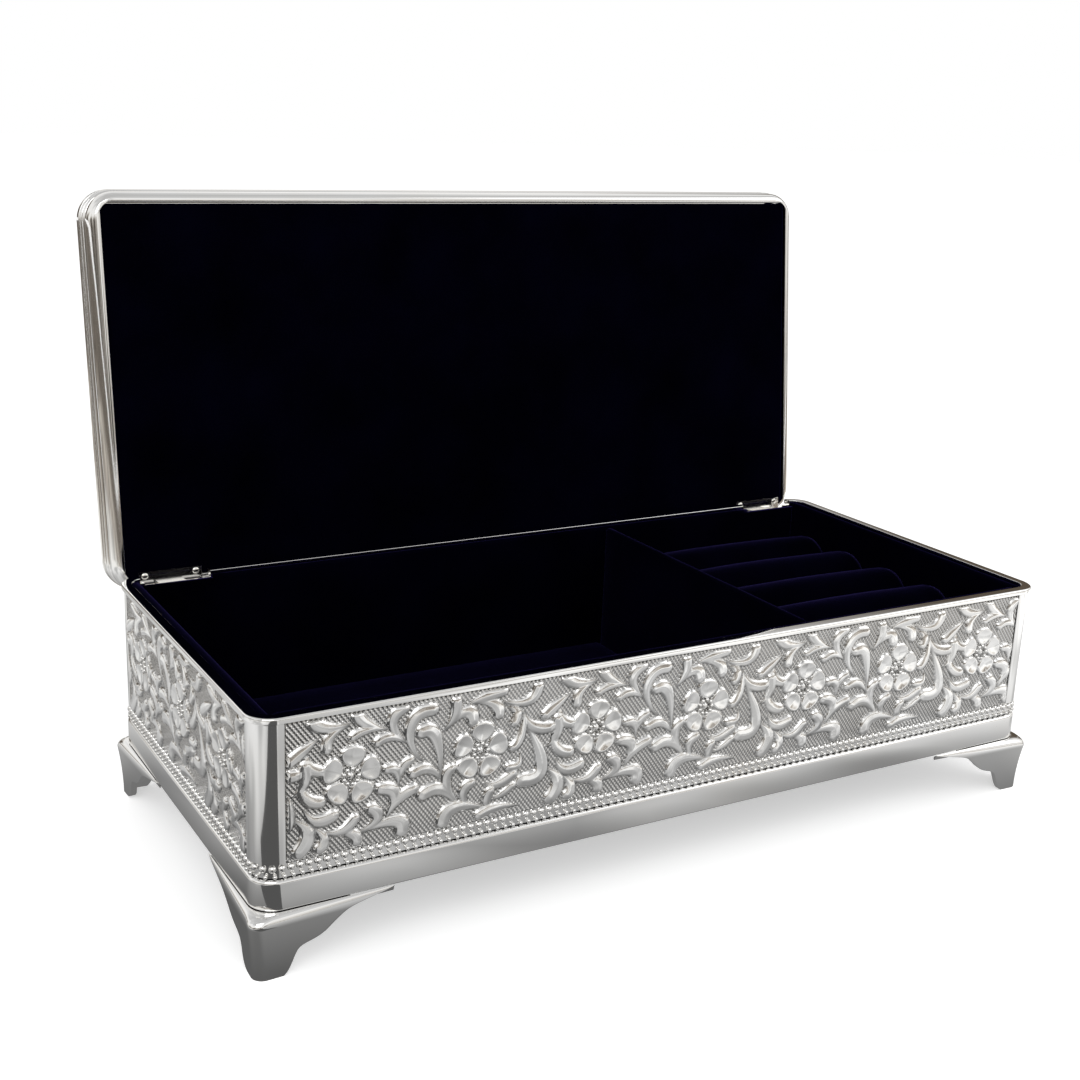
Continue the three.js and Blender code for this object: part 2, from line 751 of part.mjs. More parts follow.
// The lid turns about the hinge line, so its group sits there and holds the pieces drawn shut.
const lidGroup = new THREE.Group();
lidGroup.position.set(0, hingeY, hingeZ);
lidGroup.rotation.x = -THREE.MathUtils.degToRad(lidOpenAngle);
const lidPieces = new THREE.Group();
lidPieces.position.set(0, -hingeY, -hingeZ);
lidGroup.add(lidPieces);
box.add(lidGroup);

addPiece(lidPieces, 'lid_frame', lidFrame(), silver);
addPiece(lidPieces, 'lid_bead_moulding', lidBeads(), silver);
addPiece(lidPieces, 'lid_top_plate', lidTopPlate(), silver);
addPiece(lidPieces, 'lid_board', lidBoard(), board);
addPiece(lidPieces, 'lid_lining', lidLining(), velvet);
for (const [name, side] of [['left', -1], ['right', 1]]) {
  addPiece(lidPieces, `hinge_lid_leaf_${name}`, lidLeaf(side), steel);
}

// The origin lies on the floor, under the middle of the open box.
box.updateMatrixWorld(true);
const outline = new THREE.Box3().setFromObject(box, true);
box.position.y = -(outline.min.y + outline.max.y) / 2;

export default box;
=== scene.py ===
"""A silver jewellery box with its lid open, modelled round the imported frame. All lengths are in metres."""
import json
import logging
import math
from abc import ABC, abstractmethod
from collections.abc import Iterable, Sequence
from dataclasses import dataclass, field
from enum import Enum
from typing import ClassVar

import bmesh
import bpy
import numpy as np
from bmesh.types import BMEdge, BMesh, BMVert
from bpy.types import Material, Mesh, Node, NodeSocket, NodeTree, Object, World
from mathutils import Matrix, Vector, noise


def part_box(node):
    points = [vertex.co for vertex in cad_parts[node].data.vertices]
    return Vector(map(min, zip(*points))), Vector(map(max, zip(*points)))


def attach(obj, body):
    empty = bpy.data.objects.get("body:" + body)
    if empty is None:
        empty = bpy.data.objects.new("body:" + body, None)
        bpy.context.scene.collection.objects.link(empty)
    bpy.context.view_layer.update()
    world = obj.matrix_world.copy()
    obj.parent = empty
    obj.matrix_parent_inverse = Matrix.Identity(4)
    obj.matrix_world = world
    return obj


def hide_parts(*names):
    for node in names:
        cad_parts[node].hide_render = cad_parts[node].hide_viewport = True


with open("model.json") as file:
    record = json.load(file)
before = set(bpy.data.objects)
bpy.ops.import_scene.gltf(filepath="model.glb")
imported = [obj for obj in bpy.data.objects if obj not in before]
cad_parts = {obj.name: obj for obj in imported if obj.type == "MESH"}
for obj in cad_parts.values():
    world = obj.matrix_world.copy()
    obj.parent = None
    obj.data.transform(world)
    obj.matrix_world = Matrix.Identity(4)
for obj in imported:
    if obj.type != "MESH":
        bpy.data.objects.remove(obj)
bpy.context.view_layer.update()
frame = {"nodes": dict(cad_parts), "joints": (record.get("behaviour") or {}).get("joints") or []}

LOG = logging.getLogger("jewellery_box")
MM = 0.001
RIPPLE_SEED = 1
CASE_CORNER = 7 * MM
LID_CORNER = 9 * MM

QUARTERS = ((1, 1), (-1, 1), (-1, -1), (1, -1))
CORNER_STEPS = 12
SIDE_SHARES = (0.02, 0.5, 0.98)
ROUND_STEPS = 6
BEVEL_STEPS = 3
BALL_SEGMENTS = 8
BALL_RINGS = 6
SHARP_ANGLE = math.radians(34)
QUARTER_TURN = math.pi / 2
HINGE_SIDES = ("left", "right")
WHITE = (1.0, 1.0, 1.0, 1.0)
SOCKET_KINDS = {1: "NodeSocketFloat", 3: "NodeSocketVector", 4: "NodeSocketColor"}

Point = tuple[float, float]
Place = tuple[float, float, float]
Colour = tuple[float, float, float, float]
Window = tuple[float, float, float, float]


class Body(Enum):
    """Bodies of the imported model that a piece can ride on."""

    CASE = "root"
    LID = "lid"


class Slot(Enum):
    """Material slots of the record."""

    SILVER = "silver_plate"
    EMBOSSED = "embossed_silver"
    HINGE = "hinge_metal"
    VELVET = "velvet"
    BASE_CLOTH = "base_cloth"
    CARD = "lid_card"


class Side(Enum):
    """Walls of the case: the outward direction, and the direction that reads as right from outside."""

    FRONT = ((0, -1, 0), (1, 0, 0))
    REAR = ((0, 1, 0), (-1, 0, 0))
    LEFT = ((-1, 0, 0), (0, -1, 0))
    RIGHT = ((1, 0, 0), (0, 1, 0))

    def basis(self, origin: Vector) -> Matrix:
        """Return the matrix from a sheet's own directions to the wall's.

        Args:
            origin: Where the middle of the sheet goes.

        Returns:
            A matrix that takes right, up and outward to their places on the wall.
        """
        outward, right = (Vector(direction) for direction in self.value)
        columns = Matrix((right, Vector((0, 0, 1)), outward)).transposed().to_4x4()
        return Matrix.Translation(origin) @ columns


@dataclass(frozen=True)
class Station:
    """A point of a moulding's section: how far inside the outline it lies, and its height."""

    inset: float
    height: float
    radius: float | None = None


@dataclass(frozen=True)
class Plan:
    """A rounded oblong seen from above, such as the outline of the case or of the lid."""

    half_x: float
    half_y: float
    centre_y: float
    radius: float

    def drawn_in(self, inset: float, radius: float | None = None) -> "Plan":
        """Return the outline drawn in by an inset, with its own corner radius if one is given."""
        corner = self.radius - inset if radius is None else radius
        return Plan(self.half_x - inset, self.half_y - inset, self.centre_y, corner)

    def corner(self, quarter: int) -> list[Point]:
        """Return the points of one round corner.

        Args:
            quarter: Corner number, counted round from the right rear one.

        Returns:
            Points in plan, both ends of the corner among them.
        """
        side, end = QUARTERS[quarter]
        middle = (side * (self.half_x - self.radius), end * (self.half_y - self.radius) + self.centre_y)
        return arc(middle, self.radius, quarter, quarter + 1, CORNER_STEPS)

    def outline(self, inset: float, radius: float | None = None) -> list[Point]:
        """Return the points of the outline at an inset, once round.

        Args:
            inset: Distance inside the outline.
            radius: Corner radius there, if it isn't what the inset leaves.

        Returns:
            Points in plan, the same number for every inset.
        """
        plan = self.drawn_in(inset, radius)
        corners = [plan.corner(quarter) for quarter in range(4)]
        points = []
        for corner, following in zip(corners, corners[1:] + corners[:1]):
            (x0, y0), (x1, y1) = corner[-1], following[0]
            points += corner
            points += [(x0 + (x1 - x0) * share, y0 + (y1 - y0) * share) for share in SIDE_SHARES]
        return points

    def loop(self, station: Station) -> list[Place]:
        """Return the points of the outline at a station of a section."""
        return [(x, y, station.height) for x, y in self.outline(station.inset, station.radius)]

    def sweep(self, section: Sequence[Station]) -> BMesh:
        """Carry a closed section round the outline.

        Args:
            section: The section, point by point.

        Returns:
            The new mesh.
        """
        bm = bmesh.new()
        loops = [self.loop(station) for station in section]
        place = bm.verts.layers.int.new("place")
        first = add_loop(bm, loops[0])
        for number, vert in enumerate(first):
            vert[place] = number
        edges = edges_at(first)
        for loop in loops[1:] + loops[:1]:
            made = bmesh.ops.extrude_edge_only(bm, edges=edges)["geom"]
            last = [item for item in made if isinstance(item, BMVert)]
            edges = [item for item in made if isinstance(item, BMEdge)
                     and all(vert in made for vert in item.verts)]
            for vert in last:
                vert.co = loop[vert[place]]
        bmesh.ops.remove_doubles(bm, verts=first + last, dist=MM / 1000)
        bm.verts.layers.int.remove(place)
        return bm


def arc(centre: Point, radii: Point | float, start: float, end: float,
        steps: int = ROUND_STEPS) -> list[Point]:
    """Return points of a round stretch of a section.

    Args:
        centre: Middle of the arc.
        radii: Its radius, or its radius along each direction.
        start: First angle, in quarter turns.
        end: Last angle, in quarter turns.
        steps: Number of chords.

    Returns:
        The points, both ends among them.
    """
    across, up = radii if isinstance(radii, tuple) else (radii, radii)
    angles = [(start + (end - start) * step / steps) * QUARTER_TURN for step in range(steps + 1)]
    return [(centre[0] + across * math.cos(a), centre[1] + up * math.sin(a)) for a in angles]


def curve(knots: Sequence[Point], shares: np.ndarray) -> tuple[np.ndarray, np.ndarray]:
    """Return points of a smooth curve.

    Args:
        knots: Its start, its two bends and its end.
        shares: How far along it each point lies, from 0 to 1.

    Returns:
        The points' first and second coordinates.
    """
    left = 1 - shares
    weights = (left ** 3, 3 * shares * left ** 2, 3 * shares ** 2 * left, shares ** 3)
    first, second = (sum(w * knot[k] for w, knot in zip(weights, knots)) for k in (0, 1))
    return first, second


def add_loop(bm: BMesh, points: Sequence[Place]) -> list[BMVert]:
    """Add a closed loop of edges.

    Args:
        bm: Mesh to add to, from which nothing has been taken away.
        points: The points that it joins, once round.

    Returns:
        Its points in the mesh, in the same order.
    """
    verts = bmesh.ops.create_circle(bm, cap_ends=False, segments=len(points), radius=1)["verts"]
    for vert, point in zip(verts, points):
        vert.co = point
    return list(verts)


def edges_at(verts: Iterable[BMVert]) -> list[BMEdge]:
    """Return the edges that end in some points, each one once."""
    return list(dict.fromkeys(edge for vert in verts for edge in vert.link_edges))


def loft(loops: Sequence[Sequence[Place]]) -> BMesh:
    """Join closed loops into a solid, closed at both ends.

    Args:
        loops: The points of each loop, the same number in all.

    Returns:
        The new mesh.
    """
    bm = bmesh.new()
    rings = [edges_at(add_loop(bm, loop)) for loop in loops]
    for first, second in zip(rings, rings[1:]):
        bmesh.ops.bridge_loops(bm, edges=first + second)
    for ring in (rings[0], rings[-1]):
        bmesh.ops.contextual_create(bm, geom=ring)
    return bm


def add_prism(bm: BMesh, outline: Sequence[Point], low: float, high: float) -> list[BMVert]:
    """Add an upright solid on an outline.

    Args:
        bm: Mesh to add to.
        outline: Its outline in plan, anticlockwise.
        low: Height of its foot.
        high: Height of its head.

    Returns:
        The points of its head.
    """
    face = bm.faces.new([bm.verts.new((x, y, low)) for x, y in outline])
    made = bmesh.ops.extrude_face_region(bm, geom=[face])["geom"]
    head = [item for item in made if isinstance(item, BMVert)]
    bmesh.ops.translate(bm, verts=head, vec=(0, 0, high - low))
    return head


def add_balls(mesh: Mesh, spots: Sequence[Vector], radius: float) -> None:
    """Add a small ball at each spot. One ball is doubled until there are enough, and then they are set out.

    Args:
        mesh: Mesh to add to.
        spots: Their middles.
        radius: Their radius.
    """
    bm = bmesh.new()
    bmesh.ops.create_uvsphere(bm, u_segments=BALL_SEGMENTS, v_segments=BALL_RINGS, radius=radius)
    number = bm.verts.layers.int.new("number")
    count = 1
    while count < len(spots):
        for item in bmesh.ops.duplicate(bm, geom=bm.verts[:] + bm.edges[:] + bm.faces[:])["geom"]:
            if isinstance(item, BMVert):
                item[number] += count
        count *= 2
    bmesh.ops.delete(bm, geom=[vert for vert in bm.verts if vert[number] >= len(spots)], context="VERTS")
    for vert in bm.verts:
        vert.co += spots[vert[number]]
    bm.verts.layers.int.remove(number)
    for face in bm.faces:
        face.smooth = True
    bm.from_mesh(mesh)
    bm.to_mesh(mesh)
    bm.free()


def stations(points: Iterable[Point], base: float = 0) -> list[Station]:
    """Turn points of a section into stations, raised by a base height."""
    return [Station(inset, base + height) for inset, height in points]


def finish_mesh(bm: BMesh, name: str, material: Material, sharp: float = SHARP_ANGLE) -> Object:
    """Make an object of a finished mesh, smooth apart from its sharp edges.

    Args:
        bm: The mesh, which is freed.
        name: Name of the object.
        material: Its finish.
        sharp: Angle past which an edge is left sharp.

    Returns:
        The new object.
    """
    for face in bm.faces:
        face.smooth = True
    for edge in bm.edges:
        if len(edge.link_faces) == 2 and edge.calc_face_angle() > sharp:
            edge.smooth = False
    mesh = bpy.data.meshes.new(name)
    bm.to_mesh(mesh)
    bm.free()
    mesh.materials.append(material)
    piece = bpy.data.objects.new(name, mesh)
    bpy.context.scene.collection.objects.link(piece)
    return piece


def finish_solid(bm: BMesh, name: str, material: Material, sharp: float = SHARP_ANGLE) -> Object:
    """Turn the faces of a closed mesh outwards, and make an object of it as finish_mesh does."""
    bmesh.ops.recalc_face_normals(bm, faces=bm.faces[:])
    return finish_mesh(bm, name, material, sharp)


def hand_over(piece: Object, body: Body, nodes: Sequence[str] = ()) -> None:
    """Set a piece on the body that it rides on, and hide the CAD nodes that it stands for.

    Args:
        piece: The piece.
        body: Body that it rides on.
        nodes: CAD nodes that it stands for.
    """
    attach(piece, body.value)
    if nodes:
        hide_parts(*nodes)
    LOG.info("%s: %d faces on %s", piece.name, len(piece.data.polygons), body.value)


def cut_away(piece: Object, boxes: Sequence[tuple[Vector, Vector]]) -> None:
    """Cut boxes out of a piece.

    Args:
        piece: Piece to cut.
        boxes: Lowest and highest corner of each box.
    """
    bm = bmesh.new()
    for low, high in boxes:
        place = Matrix.Translation((low + high) / 2) @ Matrix.Diagonal((*(high - low), 1))
        bmesh.ops.create_cube(bm, size=1, matrix=place)
    cutter = finish_mesh(bm, piece.name + "_cutter", piece.data.materials[0])
    modifier = piece.modifiers.new("cut", "BOOLEAN")
    modifier.operation = "DIFFERENCE"
    modifier.solver = "EXACT"
    modifier.object = cutter
    settle_modifiers(piece)
    bpy.data.objects.remove(cutter)


def settle_modifiers(piece: Object) -> None:
    """Make a piece's modifiers part of its mesh.

    Args:
        piece: The piece.
    """
    graph = bpy.context.evaluated_depsgraph_get()
    shaped = bpy.data.meshes.new_from_object(piece.evaluated_get(graph))
    piece.modifiers.clear()
    piece.data = shaped


# Shader groups and finishes.


class Nodes:
    """A node tree that is being wired."""

    def __init__(self, tree: NodeTree) -> None:
        """Take the tree that the nodes go into."""
        self.tree = tree

    def add(self, kind: str, settings: dict[str, object] | None = None, **inputs: object) -> Node:
        """Add a node, set it and link its inputs.

        Args:
            kind: Node type.
            settings: Properties of the node itself.
            **inputs: Input values or output sockets, with spaces written as underscores.

        Returns:
            The node.
        """
        node = self.tree.nodes.new(kind)
        for key, value in (settings or {}).items():
            setattr(node, key, value)
        for key, value in inputs.items():
            self.join(node, key.replace("_", " "), value)
        return node

    def join(self, node: Node, key: str | int, value: object) -> None:
        """Set one input of a node, or link it where the value is a socket.

        Args:
            node: The node.
            key: Name or number of the input.
            value: Value or output socket.
        """
        socket = node.inputs[key]
        if isinstance(value, NodeSocket):
            self.tree.links.new(value, socket)
        else:
            socket.default_value = value

    def math(self, operation: str, first: object, second: object = 0.0) -> NodeSocket:
        """Work on two numbers.

        Args:
            operation: What is done with them.
            first: First number or socket.
            second: Second number or socket.

        Returns:
            The result.
        """
        node = self.add("ShaderNodeMath", {"operation": operation})
        self.join(node, 0, first)
        self.join(node, 1, second)
        return node.outputs[0]

    def total(self, first: object, share: float, second: object, other: float) -> NodeSocket:
        """Add two numbers, each multiplied by its share."""
        return self.math("ADD", self.math("MULTIPLY", first, share), self.math("MULTIPLY", second, other))

    def mix(self, share: object, first: object, second: object, blend: str = "MIX") -> NodeSocket:
        """Mix two colours.

        Args:
            share: Share of the second one.
            first: First colour or socket.
            second: Second colour or socket.
            blend: How they are mixed.

        Returns:
            The colour.
        """
        node = self.add("ShaderNodeMix", {"data_type": "RGBA", "blend_type": blend})
        for key, value in ((0, share), (6, first), (7, second)):
            self.join(node, key, value)
        return node.outputs[2]

    def between(self, value: object, to: Point, start: Point = (0.0, 1.0)) -> NodeSocket:
        """Turn a number in one span into the like number in another.

        Args:
            value: Number or socket.
            to: Span that the result lies in.
            start: Span that the number lies in.

        Returns:
            The result, held to its span.
        """
        node = self.add("ShaderNodeMapRange", Value=value, From_Min=start[0], From_Max=start[1],
                        To_Min=to[0], To_Max=to[1])
        return node.outputs["Result"]

    def noise(self, where: object, scale: float, detail: float = 3.0) -> NodeSocket:
        """Add a noise and return its value."""
        node = self.add("ShaderNodeTexNoise", Vector=where, Scale=scale, Detail=detail)
        return node.outputs["Fac"]


class SharedEffect(ABC):
    """An effect that several finishes use, built as one shader group."""

    name: ClassVar[str]
    takes: ClassVar[dict[str, object]]
    gives: ClassVar[tuple[str, ...]]

    @abstractmethod
    def wire(self, nodes: Nodes, given: Node, made: Node) -> None:
        """Wire the group.

        Args:
            nodes: The group's nodes.
            given: Its input node.
            made: Its output node.
        """

    def build(self) -> NodeTree:
        """Build the group. What its inputs start from says what they are, and so does an output's name.

        Returns:
            The group.
        """
        tree = bpy.data.node_groups.new(self.name, "ShaderNodeTree")
        for label, start in self.takes.items():
            kind = SOCKET_KINDS[len(start) if isinstance(start, tuple) else 1]
            tree.interface.new_socket(label, in_out="INPUT", socket_type=kind).default_value = start
        for label in self.gives:
            kind = SOCKET_KINDS[4 if label == "Colour" else 1]
            tree.interface.new_socket(label, in_out="OUTPUT", socket_type=kind)
        nodes = Nodes(tree)
        self.wire(nodes, nodes.add("NodeGroupInput"), nodes.add("NodeGroupOutput"))
        return tree


@dataclass(frozen=True)
class Handling(SharedEffect):
    """Shader group for the cloudiness and the faint unevenness of plated sheet that has been handled."""

    name = "handled_plate"
    takes = {
        "Where": (0, 0, 0),
        "Bright": (0.9, 0.9, 0.88, 1),
        "Warm": (0.86, 0.82, 0.76, 1),
        "Polish": 0.08,
        "Cloud": 0.1,
    }
    gives = ("Colour", "Roughness", "Height")

    cloud_scale: float = 38.0
    smear_scale: float = 260.0
    dent_scale: float = 55.0
    cloud_share: float = 0.65
    tint_span: Point = (-0.6, 1.6)

    def wire(self, nodes: Nodes, given: Node, made: Node) -> None:
        """Wire the group.

        Args:
            nodes: The group's nodes.
            given: Its input node.
            made: Its output node.
        """
        where = given.outputs["Where"]
        clouds = nodes.noise(where, self.cloud_scale, 4.0)
        smears = nodes.noise(where, self.smear_scale, 2.0)
        cloudiness = nodes.total(clouds, self.cloud_share, smears, 1 - self.cloud_share)
        rough = nodes.math("MULTIPLY", cloudiness, given.outputs["Cloud"])
        nodes.join(made, "Roughness", nodes.math("ADD", rough, given.outputs["Polish"]))
        tint = nodes.between(clouds, self.tint_span)
        nodes.join(made, "Colour", nodes.mix(tint, given.outputs["Bright"], given.outputs["Warm"]))
        nodes.join(made, "Height", nodes.noise(where, self.dent_scale, 1.0))


@dataclass(frozen=True)
class Hatching(SharedEffect):
    """Shader group for the matting of an embossed ground, rows of small studs on a slant, darkened in its
    grooves and creases by tarnish and painted shade.
    """

    name = "hatched_ground"
    takes = {
        "Where": (0, 0, 0),
        "Pitch": 0.85,
        "Ground": 1.0,
        "Tarnish": 0.12,
        "Crease": 0.0,
        "Soiling": 0.5,
    }
    gives = ("Height", "Shade")

    slant: Point = (0.8, 0.6)
    notch_rate: float = 1.15
    notch_depth: float = 0.3
    highest: float = 1.35
    darkest: float = 0.05

    def wire(self, nodes: Nodes, given: Node, made: Node) -> None:
        """Wire the group.

        Args:
            nodes: The group's nodes.
            given: Its input node.
            made: Its output node.
        """
        split = nodes.add("ShaderNodeSeparateXYZ", Vector=given.outputs["Where"])
        across, up = split.outputs["X"], split.outputs["Y"]
        turn = nodes.math("DIVIDE", 2 * math.pi, given.outputs["Pitch"])
        down_slant = nodes.total(across, self.slant[0], up, self.slant[1])
        up_slant = nodes.total(across, self.slant[0], up, -self.slant[1])
        ridge = nodes.math("SINE", nodes.math("MULTIPLY", down_slant, turn))
        notch_turn = nodes.math("MULTIPLY", turn, self.notch_rate)
        notch = nodes.math("SINE", nodes.math("MULTIPLY", up_slant, notch_turn))
        studs = nodes.math("ADD", ridge, nodes.math("MULTIPLY", notch, self.notch_depth))
        nodes.join(made, "Height", nodes.math("MULTIPLY", studs, given.outputs["Ground"]))
        # Tarnish and painted shade: the grooves between the studs are darker than their tops.
        depth = nodes.math("SUBTRACT", self.highest, studs)
        tarnish = nodes.math("MULTIPLY", depth, given.outputs["Tarnish"])
        shade = nodes.math("SUBTRACT", 1.0, nodes.math("MULTIPLY", tarnish, given.outputs["Ground"]))
        # Painted shade, with tarnish: the creases at the feet of the leaves and flowers are darker.
        crease_darkening = nodes.math("MULTIPLY", given.outputs["Crease"], given.outputs["Soiling"])
        nodes.join(made, "Shade", nodes.math("MAXIMUM", nodes.math("SUBTRACT", shade, crease_darkening), self.darkest))


@dataclass(frozen=True)
class Pile(SharedEffect):
    """Shader group for the pile of velvet: fine fibres, and broad strokes where it has been brushed."""

    name = "velvet_pile"
    takes = {
        "Where": (0, 0, 0),
        "Deep": (0.001, 0.001, 0.006, 1),
        "Lit": (0.006, 0.005, 0.03, 1),
        "Fineness": 2400.0,
    }
    gives = ("Colour", "Height")

    stroke_scale: float = 45.0
    stroke_share: float = 0.7
    tone_span: Point = (-0.8, 1.8)

    def wire(self, nodes: Nodes, given: Node, made: Node) -> None:
        """Wire the group.

        Args:
            nodes: The group's nodes.
            given: Its input node.
            made: Its output node.
        """
        where = given.outputs["Where"]
        strokes = nodes.noise(where, self.stroke_scale)
        fibres = nodes.noise(where, given.outputs["Fineness"], 2.0)
        tone = nodes.total(strokes, self.stroke_share, fibres, 1 - self.stroke_share)
        shade = nodes.between(tone, self.tone_span)
        nodes.join(made, "Colour", nodes.mix(shade, given.outputs["Deep"], given.outputs["Lit"]))
        nodes.join(made, "Height", fibres)


class Workshop:
    """The shader groups that the finishes share."""

    def __init__(self) -> None:
        """Build each group once."""
        self.handling = Handling().build()
        self.hatching = Hatching().build()
        self.pile = Pile().build()


def cleared_nodes(owner: Material | World) -> Nodes:
    """Clear the nodes of a material or a world.

    Args:
        owner: The material or world.

    Returns:
        Its nodes, with none left.
    """
    owner.use_nodes = True
    owner.node_tree.nodes.clear()
    return Nodes(owner.node_tree)


def new_material(name: str) -> tuple[Material, Nodes, Node]:
    """Make an empty material with its shader.

    Args:
        name: Name of the material.

    Returns:
        The material, its nodes and its Principled shader.
    """
    material = bpy.data.materials.new(name)
    nodes = cleared_nodes(material)
    shader = nodes.add("ShaderNodeBsdfPrincipled")
    nodes.add("ShaderNodeOutputMaterial", Surface=shader.outputs["BSDF"])
    return material, nodes, shader


@dataclass(frozen=True)
class SilverFinish:
    """Bright silver plate on polished sheet, plain or over an embossed ground."""

    name: str
    bright: Colour = (0.93, 0.93, 0.925, 1)
    warm: Colour = (0.9, 0.89, 0.87, 1)
    polish: float = 0.03
    cloud: float = 0.09
    unevenness: float = 0.05 * MM
    hatched: bool = False
    hatch_pitch: float = 0.95
    hatch_depth: float = 0.1 * MM
    tarnish: float = 0.19
    soiling: float = 0.65

    def material(self, shop: Workshop) -> Material:
        """Build the finish.

        Args:
            shop: The shared shader groups.

        Returns:
            The material.
        """
        material, nodes, shader = new_material(self.name)
        place = nodes.add("ShaderNodeTexCoord").outputs["Object"]
        plate = nodes.add("ShaderNodeGroup", {"node_tree": shop.handling}, Where=place,
                          Bright=self.bright, Warm=self.warm, Polish=self.polish, Cloud=self.cloud)
        nodes.join(shader, "Base Color", plate.outputs["Colour"])
        nodes.join(shader, "Roughness", plate.outputs["Roughness"])
        shader.inputs["Metallic"].default_value = 1.0
        bump = nodes.add("ShaderNodeBump", Height=plate.outputs["Height"], Distance=self.unevenness)
        if self.hatched:
            sheet = nodes.add("ShaderNodeUVMap", {"uv_map": "sheet"}).outputs["UV"]
            ground = nodes.add("ShaderNodeAttribute", {"attribute_name": "ground"}).outputs["Fac"]
            crease = nodes.add("ShaderNodeAttribute", {"attribute_name": "crease"}).outputs["Fac"]
            hatch = nodes.add("ShaderNodeGroup", {"node_tree": shop.hatching}, Where=sheet,
                              Pitch=self.hatch_pitch, Ground=ground, Tarnish=self.tarnish,
                              Crease=crease, Soiling=self.soiling)
            # The hatch's Shade darkens the base colour in the grooves and at the feet of the raised work:
            # tarnish there, and painted shade.
            darker = nodes.mix(1.0, plate.outputs["Colour"], hatch.outputs["Shade"], "MULTIPLY")
            nodes.join(shader, "Base Color", darker)
            bump = nodes.add("ShaderNodeBump", Height=hatch.outputs["Height"],
                             Distance=self.hatch_depth, Normal=bump.outputs["Normal"])
        nodes.join(shader, "Normal", bump.outputs["Normal"])
        return material


@dataclass(frozen=True)
class VelvetFinish:
    """Short dark pile that lights up where it is seen across its fibres."""

    name: str
    deep: Colour = (0.0002, 0.0002, 0.0008, 1)
    lit: Colour = (0.0008, 0.0007, 0.004, 1)
    sheen: float = 0.3
    sheen_tint: Colour = (0.14, 0.11, 0.5, 1)
    sheen_roughness: float = 0.3
    fineness: float = 2400.0
    pile_depth: float = 0.12 * MM

    def material(self, shop: Workshop) -> Material:
        """Build the finish.

        Args:
            shop: The shared shader groups.

        Returns:
            The material.
        """
        material, nodes, shader = new_material(self.name)
        place = nodes.add("ShaderNodeTexCoord").outputs["Object"]
        pile = nodes.add("ShaderNodeGroup", {"node_tree": shop.pile}, Where=place, Deep=self.deep,
                         Lit=self.lit, Fineness=self.fineness)
        nodes.join(shader, "Base Color", pile.outputs["Colour"])
        shader.inputs["Roughness"].default_value = 1.0
        shader.inputs["Specular IOR Level"].default_value = 0.0
        shader.inputs["Sheen Weight"].default_value = self.sheen
        shader.inputs["Sheen Roughness"].default_value = self.sheen_roughness
        shader.inputs["Sheen Tint"].default_value = self.sheen_tint
        bump = nodes.add("ShaderNodeBump", Height=pile.outputs["Height"], Distance=self.pile_depth)
        nodes.join(shader, "Normal", bump.outputs["Normal"])
        return material


class Palette:
    """Every finish of the box."""

    def __init__(self) -> None:
        """Build the materials."""
        shop = Workshop()
        self.plate = SilverFinish("polished_plate").material(shop)
        self.embossed = SilverFinish("embossed_plate", polish=0.07, cloud=0.1, hatched=True).material(shop)
        self.beads = SilverFinish("beaded_plate", polish=0.06).material(shop)
        self.hinge = SilverFinish("hinge_plate", bright=(0.84, 0.82, 0.78, 1), polish=0.07).material(shop)
        self.velvet = VelvetFinish("navy_velvet").material(shop)
        self.base_cloth = VelvetFinish(
            "base_felt", deep=(0.006, 0.006, 0.008, 1), lit=(0.02, 0.02, 0.026, 1), sheen=0.1,
            sheen_tint=(0.4, 0.4, 0.45, 1), fineness=1600.0,
        ).material(shop)
        self.card = VelvetFinish(
            "lid_board", deep=(0.05, 0.045, 0.04, 1), lit=(0.09, 0.08, 0.07, 1), sheen=0.0, fineness=900.0,
        ).material(shop)


# Embossing.


@dataclass(frozen=True)
class Leaf:
    """A comma-shaped leaf: a line that widens from its stalk to a round tip. Millimetres on the sheet."""

    stalk: Point
    bend: Point
    turn: Point
    tip: Point
    half_width: float


def towards(end: Point, bend: Point) -> Point:
    """Return the point two thirds of the way from an end to a bend."""
    return end[0] + (bend[0] - end[0]) * 2 / 3, end[1] + (bend[1] - end[1]) * 2 / 3


def leaf(stalk: Point, bend: Point, tip: Point, half_width: float) -> Leaf:
    """Return a leaf whose line is a plain curve through one bend."""
    return Leaf(stalk, towards(stalk, bend), towards(tip, bend), tip, half_width)


